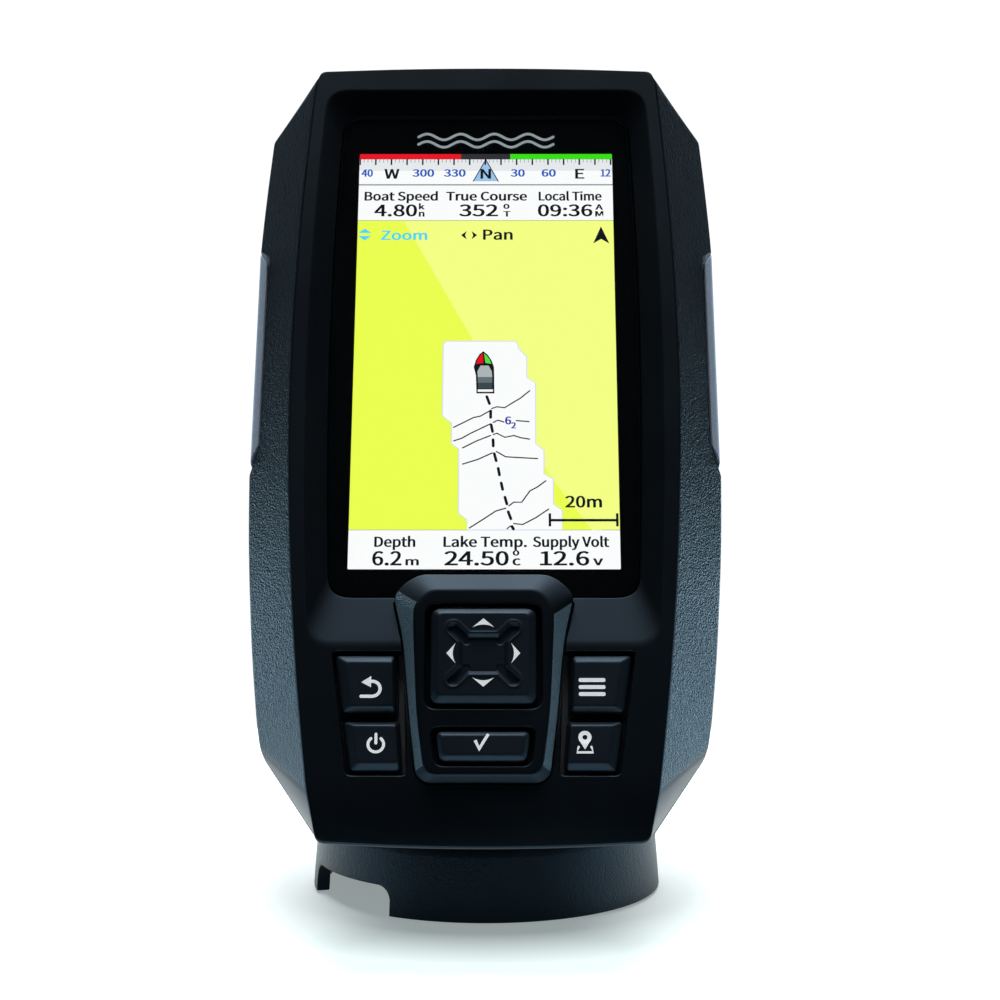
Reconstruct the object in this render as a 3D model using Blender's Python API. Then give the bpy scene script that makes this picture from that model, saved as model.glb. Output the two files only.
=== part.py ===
"""Portrait fish finder on a round tilt-and-swivel mount, built as separate closed solids.

World frame: origin in the middle of the mount's underside, on the swivel axis, +Z up, screen towards -Y.
Unit frame: the display unit leans back by LEAN. There x is across, y runs into the case from the front
rim, and z runs up the face from the bottom of the picture area. Sizes are in millimetres until they
are written into a mesh.
"""

import math

import bmesh
import bpy
from mathutils import Vector

MM = 0.001

# ---- driving sizes, in millimetres ----------------------------------------------------------------
LEAN = 26.4  # degrees from upright
UNIT_AT = (0.0, -51.7, 75.3)  # unit origin in the world
TILT_HEIGHT = 42.0  # tilt axis above the surface
AIR = 0.3  # gap between touching pieces

# Case: right half of each outline, from top centre to bottom centre, as (across, up).
CREASE = [(0, 114.9), (18, 114.7), (35.6, 114.0), (36.4, 111.2), (37.5, 95.4), (38.65, 76.7), (39.3, 55),
          (39.4, 38), (39.0, 22), (38.0, 2), (36.7, -15), (35.1, -30.4), (33.2, -45.4), (31.2, -55.4),
          (16, -56.25), (0, -56.5)]
WIDEST = [(0, 113.6), (18, 113.5), (36.6, 112.8), (46.9, 106.2), (47.9, 93), (48.75, 78.5), (49.1, 57),
          (49.1, 40), (48.85, 25.1), (48.2, 8), (46.6, -13), (44.9, -28), (43.9, -33.5), (32.3, -50.6),
          (16, -51.3), (0, -51.5)]
WIDEST_TOP, WIDEST_BOTTOM = 113.6, -51.5
PART_LINE = 17.0  # depth of the joint between the two housings
REAR_FACE = 41.5
REAR_WALL = 2.2
FRONT_WALL = 2.2
CAVITY_FRONT = 5.2  # the main cavity starts behind the screen ledge

# Screen recess and window: top, bottom, half width in the middle, bow of the sides, corner radius.
RECESS = (109.0, -16.5, 36.35, 2.4, 4.3)
WINDOW = (103.75, -6.0, 31.75, 1.45, 4.0)
GLASS_FRONT, GLASS_BACK = 2.4, 3.5
LEDGE_FRONT = 3.6
PANEL_HALF, PANEL_BOTTOM, PANEL_TOP = 28.7, -1.2, 98.0

# Keypad surround, keys and four-way pad.
SURROUND_BASE = [(12.6, -2.15), (15.6, -4.1), (17.6, -6.63), (15.6, -16.3), (14.3, -31.0), (13.0, -41.2),
                 (12.7, -42.6), (11.0, -44.15)]
SURROUND_FACE = [(10.1, -6.1), (12.0, -7.6), (13.3, -10.0), (13.1, -16.3), (12.4, -31.0), (11.2, -40.2),
                 (10.8, -41.9), (9.5, -43.0)]
SURROUND_FRONT, SURROUND_BACK = -2.0, 2.1
PAD_CENTRE = -19.5
PAD_HALF_X, PAD_HALF_Z = 10.15, 9.6
PAD_PIVOT_DEPTH = 3.4
ENTER = [(9.0, -34.6), (8.25, -40.4)]  # top and bottom corner of the right half
BACK_KEY = [(-28.2, -18.85), (-17.25, -18.85), (-16.8, -30.1), (-26.6, -30.1)]
POWER_KEY = [(-26.3, -32.1), (-16.3, -32.1), (-15.7, -41.6), (-25.0, -41.6)]
BACK_FLANGE = [(-29.9, -17.4), (-16.5, -17.4), (-16.1, -30.9), (-28.0, -30.9)]
POWER_FLANGE = [(-27.9, -31.3), (-15.9, -31.3), (-15.1, -43.2), (-26.4, -43.2)]
KEY_OPENING = [(-29.2, -17.9), (-15.45, -17.9), (-14.5, -42.6), (-25.8, -42.6)]
KEY_POCKET = (31.5, -44.5, -17.0)  # half width, bottom, top
KEY_FACE = -0.6

# Side notch and its grip.
NOTCH = [(46.2, 31.0), (46.2, 74.9), (51.0, 81.8), (51.0, 21.0)]
GRIP = [(46.6, 31.5), (46.6, 74.3), (48.5, 77.0), (48.5, 27.6)]
GRIP_FRONT, GRIP_BACK = 13.6, 26.4
NOTCH_BACK = 26.8

# Case screws: right-hand places, mirrored to the left.
SCREW_PLACES = {"upper": (36.5, 92.0), "lower": (35.0, -27.0)}
SCREW_SEAT = 24.0

# Rear dock and cradle.
DOCK = (-25.0, 42.0)  # bottom and top
CRADLE = (-28.4, 30.0)
CONNECTOR_UP = 62.0

# Mount.
SKIRT_RADIUS = 38.0
SKIRT_WALL = 2.8
YOKE_INNER, YOKE_OUTER = 10.0, 15.5
BASE_THICK = 2.0
NOTCH_ANGLES = (31.5, 75.0)  # cable notch, degrees from the front towards -X
NOTCH_HEIGHT = 6.5

COLOURS = {
    "case": ((0.006, 0.007, 0.009), 0.45, 0.0),
    "case_rear": ((0.012, 0.014, 0.017), 0.5, 0.0),
    "grip": ((0.26, 0.31, 0.38), 0.5, 0.0),
    "key": ((0.010, 0.012, 0.015), 0.4, 0.0),
    "glass": ((0.002, 0.003, 0.003), 0.05, 0.0),
    "panel": ((0.65, 0.7, 0.25), 0.3, 0.0),
    "tray": ((0.6, 0.6, 0.6), 0.4, 0.0),
    "board": ((0.01, 0.08, 0.03), 0.5, 0.0),
    "rubber": ((0.02, 0.02, 0.02), 0.8, 0.0),
    "chip": ((0.01, 0.01, 0.01), 0.4, 0.0),
    "ceramic": ((0.55, 0.5, 0.4), 0.6, 0.0),
    "steel": ((0.55, 0.56, 0.58), 0.3, 1.0),
    "flex": ((0.35, 0.18, 0.04), 0.4, 0.0),
    "pin": ((0.75, 0.6, 0.3), 0.25, 1.0),
    "mount": ((0.010, 0.012, 0.014), 0.5, 0.0),
}


# ---- outlines ---------------------------------------------------------------------------------------
def both_sides(half):
    """Full outline from a right half that runs from top centre to bottom centre."""
    return half + [(-x, z) for x, z in reversed(half) if x > 0]


def resized(half, across, top, bottom):
    """The widest outline's half, narrowed by a factor and fitted between a new top and bottom."""
    stretch = (top - bottom) / (WIDEST_TOP - WIDEST_BOTTOM)
    return both_sides([(x * across, bottom + (z - WIDEST_BOTTOM) * stretch) for x, z in half])


def arc(centre, radius, start, end, steps):
    """Points on an arc, angles in degrees."""
    angles = [math.radians(start + (end - start) * i / steps) for i in range(steps + 1)]
    return [(centre[0] + radius * math.cos(a), centre[1] + radius * math.sin(a)) for a in angles]


def bowed(top, bottom, half_mid, bow, radius, sides=8, corner=4):
    """Upright rectangle with sides bowed out by a parabola and round corners."""
    middle, reach = (top + bottom) / 2, (top - bottom) / 2

    def half(z):
        return half_mid - bow * ((z - middle) / reach) ** 2

    high, low = top - radius, bottom + radius
    right = arc((half(high) - radius, high), radius, 90, 0, corner)
    right += [(half(high + (low - high) * i / sides), high + (low - high) * i / sides) for i in range(1, sides)]
    right += arc((half(low) - radius, low), radius, 0, -90, corner)
    return right + [(-x, z) for x, z in reversed(right)]


def rounded(points, radius, steps=3):
    """Polygon with each corner turned into an arc that touches both its sides."""
    out = []
    for i, corner in enumerate(points):
        here = Vector(corner)
        before = (Vector(points[i - 1]) - here).normalized()
        after = (Vector(points[(i + 1) % len(points)]) - here).normalized()
        half_angle = before.angle(after) / 2
        centre = here + (before + after).normalized() * radius / math.sin(half_angle)
        first = here + before * radius / math.tan(half_angle) - centre
        last = here + after * radius / math.tan(half_angle) - centre
        for k in range(steps + 1):
            way = first.lerp(last, k / steps).normalized() * radius
            out.append(tuple(centre + way))
    return out


def grown(points, by):
    """Polygon with every corner moved outward along its angle bisector, for a margin of the given width."""
    turn = sum((points[i][0] * points[(i + 1) % len(points)][1] - points[(i + 1) % len(points)][0] * points[i][1])
               for i in range(len(points)))
    side = 1.0 if turn > 0 else -1.0
    out = []
    for i, corner in enumerate(points):
        here = Vector(corner)
        along_in = (here - Vector(points[i - 1])).normalized()
        along_out = (Vector(points[(i + 1) % len(points)]) - here).normalized()
        out_in = Vector((along_in.y, -along_in.x)) * side
        out_out = Vector((along_out.y, -along_out.x)) * side
        way = (out_in + out_out).normalized()
        out.append(tuple(here + way * by / max(way.dot(out_in), 0.3)))
    return out


def mirrored(points):
    """Outline mirrored from left to right."""
    return [(-x, z) for x, z in reversed(points)]


def box_outline(x0, x1, z0, z1):
    """Rectangle as an outline."""
    return [(x0, z0), (x1, z0), (x1, z1), (x0, z1)]


def circle(centre, radius, steps=24):
    """Round outline."""
    return arc(centre, radius, 0, 360 - 360 / steps, steps - 1)


# ---- meshes -----------------------------------------------------------------------------------------
def material(kind):
    """One material for each finish, made once."""
    if kind in bpy.data.materials:
        return bpy.data.materials[kind]
    colour, rough, metal = COLOURS[kind]
    made = bpy.data.materials.new(kind)
    made.use_nodes = True
    shader = made.node_tree.nodes["Principled BSDF"]
    shader.inputs["Base Color"].default_value = (*colour, 1.0)
    shader.inputs["Roughness"].default_value = rough
    shader.inputs["Metallic"].default_value = metal
    return made


def finished(name, mesh, kind, parent, origin):
    """Turns a mesh builder into a named object whose origin is at the given place of its parent."""
    shift = Vector(origin)
    for vertex in mesh.verts:
        vertex.co = (vertex.co - shift) * MM
    bmesh.ops.recalc_face_normals(mesh, faces=mesh.faces)
    if mesh.calc_volume(signed=True) < 0:
        bmesh.ops.reverse_faces(mesh, faces=mesh.faces)
    data = bpy.data.meshes.new(name)
    mesh.to_mesh(data)
    mesh.free()
    piece = bpy.data.objects.new(name, data)
    bpy.context.scene.collection.objects.link(piece)
    piece.parent = parent
    piece.location = shift * MM
    if kind == "cutter":
        piece.hide_render = True
        piece.display_type = "WIRE"
    else:
        data.materials.append(material(kind))
        data.shade_smooth()
        data.set_sharp_from_angle(angle=math.radians(30))
    return piece


def loft(name, rings, kind, parent, origin=(0, 0, 0)):
    """Closed solid through rings of equal length, each a list of (x, y, z)."""
    mesh = bmesh.new()
    made = [[mesh.verts.new(point) for point in ring] for ring in rings]
    count = len(made[0])
    for lower, upper in zip(made, made[1:]):
        for i in range(count):
            k = (i + 1) % count
            mesh.faces.new((lower[i], lower[k], upper[k], upper[i]))
    mesh.faces.new(made[0])
    mesh.faces.new(made[-1])
    return finished(name, mesh, kind, parent, origin)


def at_depth(outline, depth):
    """Outline across the unit's face, put at a depth."""
    return [(x, depth, z) for x, z in outline]


def slab(name, outline, front, back, kind, parent, origin=(0, 0, 0)):
    """Outline pushed from one depth to another."""
    return loft(name, [at_depth(outline, front), at_depth(outline, back)], kind, parent, origin)


def block(name, low, high, kind, parent, origin=(0, 0, 0)):
    """Box between two corners."""
    outline = box_outline(low[0], high[0], low[2], high[2])
    return slab(name, outline, low[1], high[1], kind, parent, origin)


def turned(name, profile, kind, parent, centre=(0, 0, 0), axis="Z", steps=28, origin=None, closed=False):
    """Profile of (radius, along) turned round an axis; a closed profile makes a ring."""
    mesh = bmesh.new()
    columns = []
    for i in range(steps):
        angle = 2 * math.pi * i / steps
        columns.append((math.cos(angle), math.sin(angle)))

    def place(radius, along, turn):
        a, b = radius * turn[0], radius * turn[1]
        local = {"Z": (a, b, along), "X": (along, a, b), "Y": (b, along, a)}[axis]
        return tuple(c + v for c, v in zip(centre, local))

    rows = []
    for radius, along in profile:
        if radius == 0:
            point = mesh.verts.new(place(0, along, (0, 0)))
            rows.append([point] * steps)
        else:
            rows.append([mesh.verts.new(place(radius, along, turn)) for turn in columns])
    pairs = list(zip(rows, rows[1:]))
    if closed:
        pairs.append((rows[-1], rows[0]))
    for first, second in pairs:
        for i in range(steps):
            k = (i + 1) % steps
            corners = [first[i], first[k], second[k], second[i]]
            mesh.faces.new(list(dict.fromkeys(corners)))
    return finished(name, mesh, kind, parent, centre if origin is None else origin)


def carve(piece, cutter):
    """Takes the cutter's shape out of the piece."""
    step = piece.modifiers.new("carve_" + cutter.name, "BOOLEAN")
    step.operation = "DIFFERENCE"
    step.object = cutter


def add(piece, extra):
    """Joins a guide's shape to the piece."""
    step = piece.modifiers.new("add_" + extra.name, "BOOLEAN")
    step.operation = "UNION"
    step.object = extra


# ---- the display unit -------------------------------------------------------------------------------
def recess_rings():
    """Rings of the tapered screen recess, carried on in front of the rim."""
    outer, inner = bowed(*RECESS), bowed(*WINDOW)
    inner = grown(inner, 0.3)
    ahead = [(o[0] + (o[0] - i[0]) / GLASS_FRONT, o[1] + (o[1] - i[1]) / GLASS_FRONT)
             for o, i in zip(outer, inner)]
    return [at_depth(ahead, -1.0), at_depth(inner, GLASS_FRONT), at_depth(inner, LEDGE_FRONT)]


def seal_outline(across, top, bottom):
    """Outline that follows the joint between the housings."""
    return resized(WIDEST, across, top, bottom)


def seal_groove(name, front, back, unit):
    """Ring-shaped cutter for the groove of the case seal."""
    ring = slab(name, seal_outline(0.919, 111.3, -49.3), front, back, "cutter", unit)
    core = slab(name + "_core", seal_outline(0.889, 109.5, -47.5), front - 1, back + 1, "cutter", unit)
    carve(ring, core)
    return ring


def screw_places():
    """Name and place of each case screw."""
    for level, (x, z) in SCREW_PLACES.items():
        for side, sign in (("left", -1), ("right", 1)):
            yield f"{level}_{side}", x * sign, z


def front_housing(unit):
    """Front case half: bezel, control panel, flared sides and screw bosses."""
    edge = both_sides([(x * 0.985, 29 + (z - 29) * 0.993) for x, z in CREASE])
    body = loft("front_housing", [at_depth(edge, 0), at_depth(both_sides(CREASE), 0.8),
                                  at_depth(both_sides(WIDEST), 15.8), at_depth(both_sides(WIDEST), PART_LINE)],
                "case", unit)
    carve(body, loft("front_cavity", [at_depth(resized(WIDEST, 0.79, 106.5, -47.0), CAVITY_FRONT),
                                      at_depth(resized(WIDEST, 0.87, 108.5, -46.5), PART_LINE + 1)],
                     "cutter", unit))
    carve(body, loft("screen_recess", recess_rings(), "cutter", unit))
    carve(body, block("picture_opening", (-PANEL_HALF - 0.4, 0, PANEL_BOTTOM - 0.5),
                      (PANEL_HALF + 0.4, CAVITY_FRONT + 1, PANEL_TOP + 0.5), "cutter", unit))
    half, low, high = KEY_POCKET
    carve(body, block("key_pocket", (-half, FRONT_WALL, low), (half, CAVITY_FRONT + 0.4, high), "cutter", unit))
    hole = [(x, min(z, -6.9)) for x, z in grown(surround_outline(SURROUND_BASE), AIR)]
    hole = [p for i, p in enumerate(hole) if p[1] < -6.9 or 12.0 < abs(p[0])]
    carve(body, slab("surround_hole", hole, -3, CAVITY_FRONT + 0.8, "cutter", unit))
    for side, outline in (("left", KEY_OPENING), ("right", mirrored(KEY_OPENING))):
        carve(body, slab("key_opening_" + side, rounded(outline, 1.2), -3, FRONT_WALL + 1, "cutter", unit))
        notch = NOTCH if side == "right" else mirrored(NOTCH)
        carve(body, slab("notch_front_" + side, notch, -3, PART_LINE + 1, "cutter", unit))
    for name, x, z in screw_places():
        add(body, slab("boss_" + name, circle((x, z), 3.6, 16), CAVITY_FRONT - 0.6, PART_LINE - 0.1,
                       "cutter", unit))
        carve(body, slab("boss_hole_" + name, circle((x, z), 1.45, 12), 8.0, PART_LINE + 1, "cutter", unit))
    carve(body, seal_groove("front_groove", PART_LINE - 1.3, PART_LINE + 1, unit))
    return body


def surround_outline(half):
    """Full outline of the keypad surround from its right half."""
    return half + [(-x, z) for x, z in reversed(half)]


def keypad_surround(unit):
    """Raised island that frames the four-way pad and the enter key."""
    base, face = surround_outline(SURROUND_BASE), surround_outline(SURROUND_FACE)
    body = loft("keypad_surround", [at_depth(face, SURROUND_FRONT), at_depth(base, 0.0),
                                    at_depth(base, SURROUND_BACK)], "case", unit)
    carve(body, slab("surround_inside", grown(base, -1.6), 0.2, SURROUND_BACK + 1, "cutter", unit))
    pad = box_outline(-PAD_HALF_X - 1.1, PAD_HALF_X + 1.1, PAD_CENTRE - PAD_HALF_Z - 1.1,
                      PAD_CENTRE + PAD_HALF_Z + 1.1)
    carve(body, slab("pad_opening", rounded(pad, 2.4), -4, 1, "cutter", unit))
    carve(body, slab("enter_opening", rounded(grown(enter_outline(), 0.95), 1.8), -4, 1, "cutter", unit))
    return body


def rear_housing(unit):
    """Rear case half with its dock for the cradle."""
    rings = [at_depth(both_sides(WIDEST), PART_LINE + 0.35), at_depth(both_sides(WIDEST), 20.0),
             at_depth(resized(WIDEST, 0.93, 111.0, -43.0), 33.0),
             at_depth(resized(WIDEST, 0.85, 108.0, -37.0), 39.5),
             at_depth(resized(WIDEST, 0.81, 105.5, -34.5), REAR_FACE)]
    body = loft("rear_housing", rings, "case_rear", unit)
    inner = REAR_FACE - REAR_WALL
    carve(body, loft("rear_cavity", [at_depth(resized(WIDEST, 0.87, 108.5, -46.5), PART_LINE - 1),
                                     at_depth(resized(WIDEST, 0.87, 108.5, -46.0), 20.0),
                                     at_depth(resized(WIDEST, 0.85, 107.5, -39.5), 33.0),
                                     at_depth(resized(WIDEST, 0.78, 103.0, -32.5), inner)],
                     "cutter", unit))
    low, high = DOCK
    profile = [(-18.6, REAR_FACE - 0.3), (18.6, REAR_FACE - 0.3), (18.6, 43.9), (21.1, 43.9), (21.1, 45.8),
               (-21.1, 45.8), (-21.1, 43.9), (-18.6, 43.9)]
    add(body, loft("dock", [[(x, y, low) for x, y in profile], [(x, y, high) for x, y in profile]],
                   "cutter", unit))
    carve(body, block("catch_pocket", (-6.6, 44.2, 33.4), (6.6, 47, 39.2), "cutter", unit))
    for side, outline in (("right", NOTCH), ("left", mirrored(NOTCH))):
        carve(body, slab("notch_rear_" + side, outline, PART_LINE - 3, NOTCH_BACK, "cutter", unit))
    for name, x, z in screw_places():
        add(body, slab("column_" + name, circle((x, z), 4.4, 16), PART_LINE + 0.5, 31.0, "cutter", unit))
        carve(body, slab("clearance_" + name, circle((x, z), 1.7, 12), PART_LINE - 1, SCREW_SEAT + 1,
                         "cutter", unit))
        carve(body, slab("counterbore_" + name, circle((x, z), 3.3, 16), SCREW_SEAT, REAR_FACE + 6,
                         "cutter", unit))
    carve(body, seal_groove("rear_groove", PART_LINE - 1, PART_LINE + 1.6, unit))
    carve(body, slab("connector_hole", circle((0, CONNECTOR_UP), 8.3, 24), inner - 4, REAR_FACE + 1,
                     "cutter", unit))
    carve(body, slab("vent_seat", circle((24, 70), 4.3, 16), REAR_FACE - 1.2, REAR_FACE + 1, "cutter", unit))
    carve(body, slab("vent_hole", circle((24, 70), 1.5, 12), inner - 2, REAR_FACE, "cutter", unit))
    return body


def case_fittings(unit):
    """Seal, screws, grips and vent of the case."""
    seal = slab("case_seal", seal_outline(0.915, 111.1, -49.1), PART_LINE - 1.1, PART_LINE + 1.4, "rubber", unit)
    carve(seal, slab("seal_core", seal_outline(0.893, 109.7, -47.7), PART_LINE - 2, PART_LINE + 3,
                     "cutter", unit))
    for name, x, z in screw_places():
        profile = [(0, 9.0), (1.3, 9.4), (1.3, SCREW_SEAT + 0.2), (2.8, SCREW_SEAT + 0.2),
                   (2.8, SCREW_SEAT + 2.2), (1.4, SCREW_SEAT + 2.5), (1.2, SCREW_SEAT + 1.2),
                   (0, SCREW_SEAT + 1.2)]
        turned("case_screw_" + name, profile, "steel", unit, centre=(x, 0, z), axis="Y", steps=16)
    for side, outline in (("right", GRIP), ("left", mirrored(GRIP))):
        inner = [(x - math.copysign(0.5, x) if abs(x) > 48 else x, z) for x, z in outline]
        loft("side_grip_" + side, [at_depth(inner, GRIP_FRONT), at_depth(outline, GRIP_FRONT + 0.8),
                                   at_depth(outline, GRIP_BACK - 0.8), at_depth(inner, GRIP_BACK)],
             "grip", unit)
    turned("vent_plug", [(0, 40.55), (4.0, 40.55), (4.0, 41.4), (3.4, 41.8), (0, 41.8)], "rubber", unit,
           centre=(24, 0, 70), axis="Y", steps=16)


def display(unit):
    """Window, picture panel, light guide, tray, bracket and ribbon."""
    slab("display_window", bowed(*WINDOW), GLASS_FRONT, GLASS_BACK, "glass", unit)
    block("lcd_panel", (-PANEL_HALF, 3.8, PANEL_BOTTOM), (PANEL_HALF, 5.0, PANEL_TOP), "panel", unit)
    tray = block("backlight_tray", (-31.6, 5.7, -4.5), (31.6, 8.2, 102.0), "tray", unit)
    carve(tray, block("tray_inside", (-30.8, 5, -3.7), (30.8, 7.5, 101.2), "cutter", unit))
    block("light_guide", (-30.4, 5.85, -3.3), (30.4, 7.2, 100.8), "tray", unit)
    bracket = block("lcd_bracket", (-31.6, 8.5, -5.0), (31.6, 9.3, 103.0), "steel", unit)
    for row, up in enumerate((8, 56)):
        carve(bracket, block(f"bracket_window_{row}", (-24, 8, up), (24, 10, up + 38), "cutter", unit))
    route = [(5.42, 1.0), (5.42, -6.3), (11.7, -6.3), (11.7, 3.0)]
    thick = 0.14
    strip = [(y, z) for y, z in route] + [(11.7 + thick, 3.0), (11.7 + thick, -6.3 - thick),
                                          (5.42 - thick, -6.3 - thick), (5.42 - thick, 1.0)]
    loft("display_flex", [[(x, y, z) for y, z in strip] for x in (-8.0, 8.0)], "flex", unit)


def electronics(unit):
    """Boards and the parts on them."""
    board = [(30, -13), (30, 98), (26, 102), (-26, 102), (-30, 98), (-30, -13), (-22.5, -16), (-22.5, -42),
             (22.5, -42), (22.5, -16)]
    slab("main_board", board, 12.2, 13.8, "board", unit)
    slab("keypad_board", [(29, -8.5), (29, -38), (23, -44), (-23, -44), (-29, -38), (-29, -8.5)], 5.6, 6.8,
         "board", unit)
    block("board_header", (15, 7.0, -22), (24, 12.0, -17), "chip", unit)
    block("gps_antenna", (-12.5, 14.0, 74), (12.5, 18.5, 99), "ceramic", unit)
    block("processor", (-7, 14.0, 34), (7, 15.4, 48), "chip", unit)
    shield = block("board_shield", (-16, 14.0, 26), (16, 17.6, 56), "steel", unit)
    carve(shield, block("shield_inside", (-15.6, 13, 26.4), (15.6, 17.2, 55.6), "cutter", unit))
    block("sonar_transformer", (-20, 14.0, -34), (-2, 27.0, -18), "chip", unit)
    turned("power_inductor", [(0, 14.0), (6.2, 14.0), (6.6, 15), (6.6, 20), (6.0, 20.8), (0, 20.8)], "chip",
           unit, centre=(10, 0, -28), axis="Y", steps=16)
    for name, x in (("left", -16), ("right", -4)):
        turned("supply_capacitor_" + name, [(0, 14.0), (4.9, 14.0), (5, 14.6), (5, 29.4), (4.6, 30), (0, 30)],
               "steel", unit, centre=(x, 0, 2), axis="Y", steps=16)
    turned("buzzer", [(0, 14.0), (6.5, 14.0), (6.5, 20.0), (1.2, 20.0), (1.2, 18.6), (0, 18.6)], "chip",
           unit, centre=(16, 0, 6), axis="Y", steps=18)
    for name, x, z in (("back", -22.5, -24.5), ("power", -21, -37), ("menu", 22.5, -24.5),
                       ("mark", 21, -37), ("enter", 0, -37.5)):
        turned("key_switch_" + name, [(0, 4.55), (1.6, 4.6), (3.0, 5.0), (3.2, 5.3), (0, 5.3)], "steel",
               unit, centre=(x, 0, z), axis="Y", steps=12)


def connector(unit):
    """Rear socket with its nut, seal and contacts."""
    centre = (0, 0, CONNECTOR_UP)
    body = turned("connector_socket", [(0, 30.0), (8.1, 30.0), (8.1, 36.2), (10.4, 36.2), (10.4, 37.9),
                                       (8.1, 37.9), (8.1, 46.0), (6.2, 46.0), (6.2, 34.0), (0, 34.0)],
                  "case_rear", unit, centre=centre, axis="Y", steps=24)
    turned("connector_nut", [(8.35, 41.8), (11.0, 41.8), (11.0, 43.9), (10.4, 44.4), (8.35, 44.4)], "case_rear",
           unit, centre=centre, axis="Y", steps=24, closed=True)
    turned("connector_seal", [(8.35, 38.15), (9.8, 38.15), (9.8, 39.05), (8.35, 39.05)], "rubber", unit,
           centre=centre, axis="Y", steps=24, closed=True)
    for number in range(4):
        angle = math.radians(45 + 90 * number)
        x, z = 3.2 * math.cos(angle), CONNECTOR_UP + 3.2 * math.sin(angle)
        carve(body, slab(f"contact_hole_{number}", circle((x, z), 0.95, 10), 29, 35, "cutter", unit))
        turned(f"connector_pin_{number + 1}", [(0, 27.0), (0.75, 27.0), (0.75, 40.6), (0.4, 41.3), (0, 41.3)],
               "pin", unit, centre=(x, 0, z), axis="Y", steps=10)


def enter_outline():
    """Full outline of the enter key."""
    (top_x, top_z), (low_x, low_z) = ENTER
    return [(-top_x, top_z), (top_x, top_z), (low_x, low_z), (-low_x, low_z)]


def side_key(name, outline, flange, unit):
    """Key cap beside the surround: tapered face, straight sides and a thin retaining flange."""
    full, face = rounded(outline, 0.9, 2), rounded(grown(outline, -1.0), 0.5, 2)
    edge = rounded(flange, 0.9, 2)
    rings = [at_depth(face, KEY_FACE), at_depth(full, KEY_FACE + 1.1), at_depth(full, 2.45),
             at_depth(edge, 2.45), at_depth(edge, 3.0)]
    loft(name, rings, "key", unit)


def keys(unit):
    """Five push keys and the mat behind them."""
    side_key("key_back", BACK_KEY, BACK_FLANGE, unit)
    side_key("key_power", POWER_KEY, POWER_FLANGE, unit)
    side_key("key_menu", mirrored(BACK_KEY), mirrored(BACK_FLANGE), unit)
    side_key("key_mark", mirrored(POWER_KEY), mirrored(POWER_FLANGE), unit)
    full, face = rounded(enter_outline(), 1.4, 2), rounded(grown(enter_outline(), -0.9), 0.7, 2)
    edge, post = rounded(grown(enter_outline(), 1.4), 1.4, 2), rounded(grown(enter_outline(), -2.0), 0.5, 2)
    loft("key_enter", [at_depth(face, -2.8), at_depth(full, -2.0), at_depth(full, 0.5), at_depth(edge, 0.5),
                       at_depth(edge, 1.1), at_depth(post, 1.1), at_depth(post, 3.1)], "key", unit)
    mat = [(-30.5, -44), (-30.5, -17.4), (-12.3, -17.4), (-12.3, -7.6), (12.3, -7.6), (12.3, -17.4),
           (30.5, -17.4), (30.5, -44)]
    mat = slab("keypad_mat", mat, 3.4, 4.2, "rubber", unit)
    carve(mat, slab("mat_hole", circle((0, PAD_CENTRE), 3.0, 16), 3, 5, "cutter", unit))


def four_way_pad(unit):
    """Four-way pad on its rocker post; both have their origin on the pivot."""
    pivot = (0, PAD_PIVOT_DEPTH, PAD_CENTRE)
    profile = [(0, 2.5), (1.3, 2.6), (2.2, 3.1), (2.2, 4.9), (0, 4.9)]
    turned("dpad_pivot", profile, "rubber", unit, centre=(0, 0, PAD_CENTRE), axis="Y", steps=16, origin=pivot)
    square = box_outline(-PAD_HALF_X, PAD_HALF_X, PAD_CENTRE - PAD_HALF_Z, PAD_CENTRE + PAD_HALF_Z)
    full, face, edge = rounded(square, 2.0), rounded(grown(square, -1.3), 1.2), rounded(grown(square, 1.6), 2.4)
    cap = loft("dpad", [at_depth(face, -3.0), at_depth(full, -1.9), at_depth(full, 1.6), at_depth(edge, 1.6),
                        at_depth(edge, 2.2)], "key", unit, origin=pivot)
    dish = box_outline(-3.6, 3.6, PAD_CENTRE - 3.4, PAD_CENTRE + 3.4)
    carve(cap, loft("dish", [at_depth(rounded(grown(dish, 1.2), 1.0), -3.6), at_depth(rounded(dish, 0.6), -2.1)],
                    "cutter", unit))


# ---- the mount --------------------------------------------------------------------------------------
def base():
    """Round base plate with its pivot boss and fixing holes, cut away behind the cable notch."""
    plate = turned("base_plate", [(0, 0), (34.4, 0), (34.4, 1.4), (33.8, BASE_THICK), (8.0, BASE_THICK),
                                  (8.0, 12.9), (2.1, 12.9), (2.1, 4.0), (0, 4.0)], "mount", None, steps=48)
    for number in range(4):
        angle = math.radians(45 + 90 * number)
        turned(f"fixing_hole_{number}", [(0, -1), (2.3, -1), (2.3, 3), (0, 3)], "cutter", None,
               centre=(20 * math.cos(angle), 20 * math.sin(angle), 0), steps=16)
        carve(plate, bpy.data.objects[f"fixing_hole_{number}"])
    corner = box_outline(-40, -19, -40, 14)
    carve(plate, loft("cable_relief", [[(x, y, z) for x, y in corner] for z in (-1, 3)], "cutter", None))
    turned("pivot_washer", [(2.3, 20.3), (6.5, 20.3), (6.5, 21.3), (2.3, 21.3)], "steel", None, steps=24,
           closed=True)
    turned("pivot_screw", [(0, 5.0), (1.9, 5.4), (1.9, 21.6), (4.0, 21.6), (4.0, 23.2), (3.2, 24.2),
                           (1.6, 24.2), (1.4, 22.6), (0, 22.6)], "steel", None, steps=18)


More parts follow.
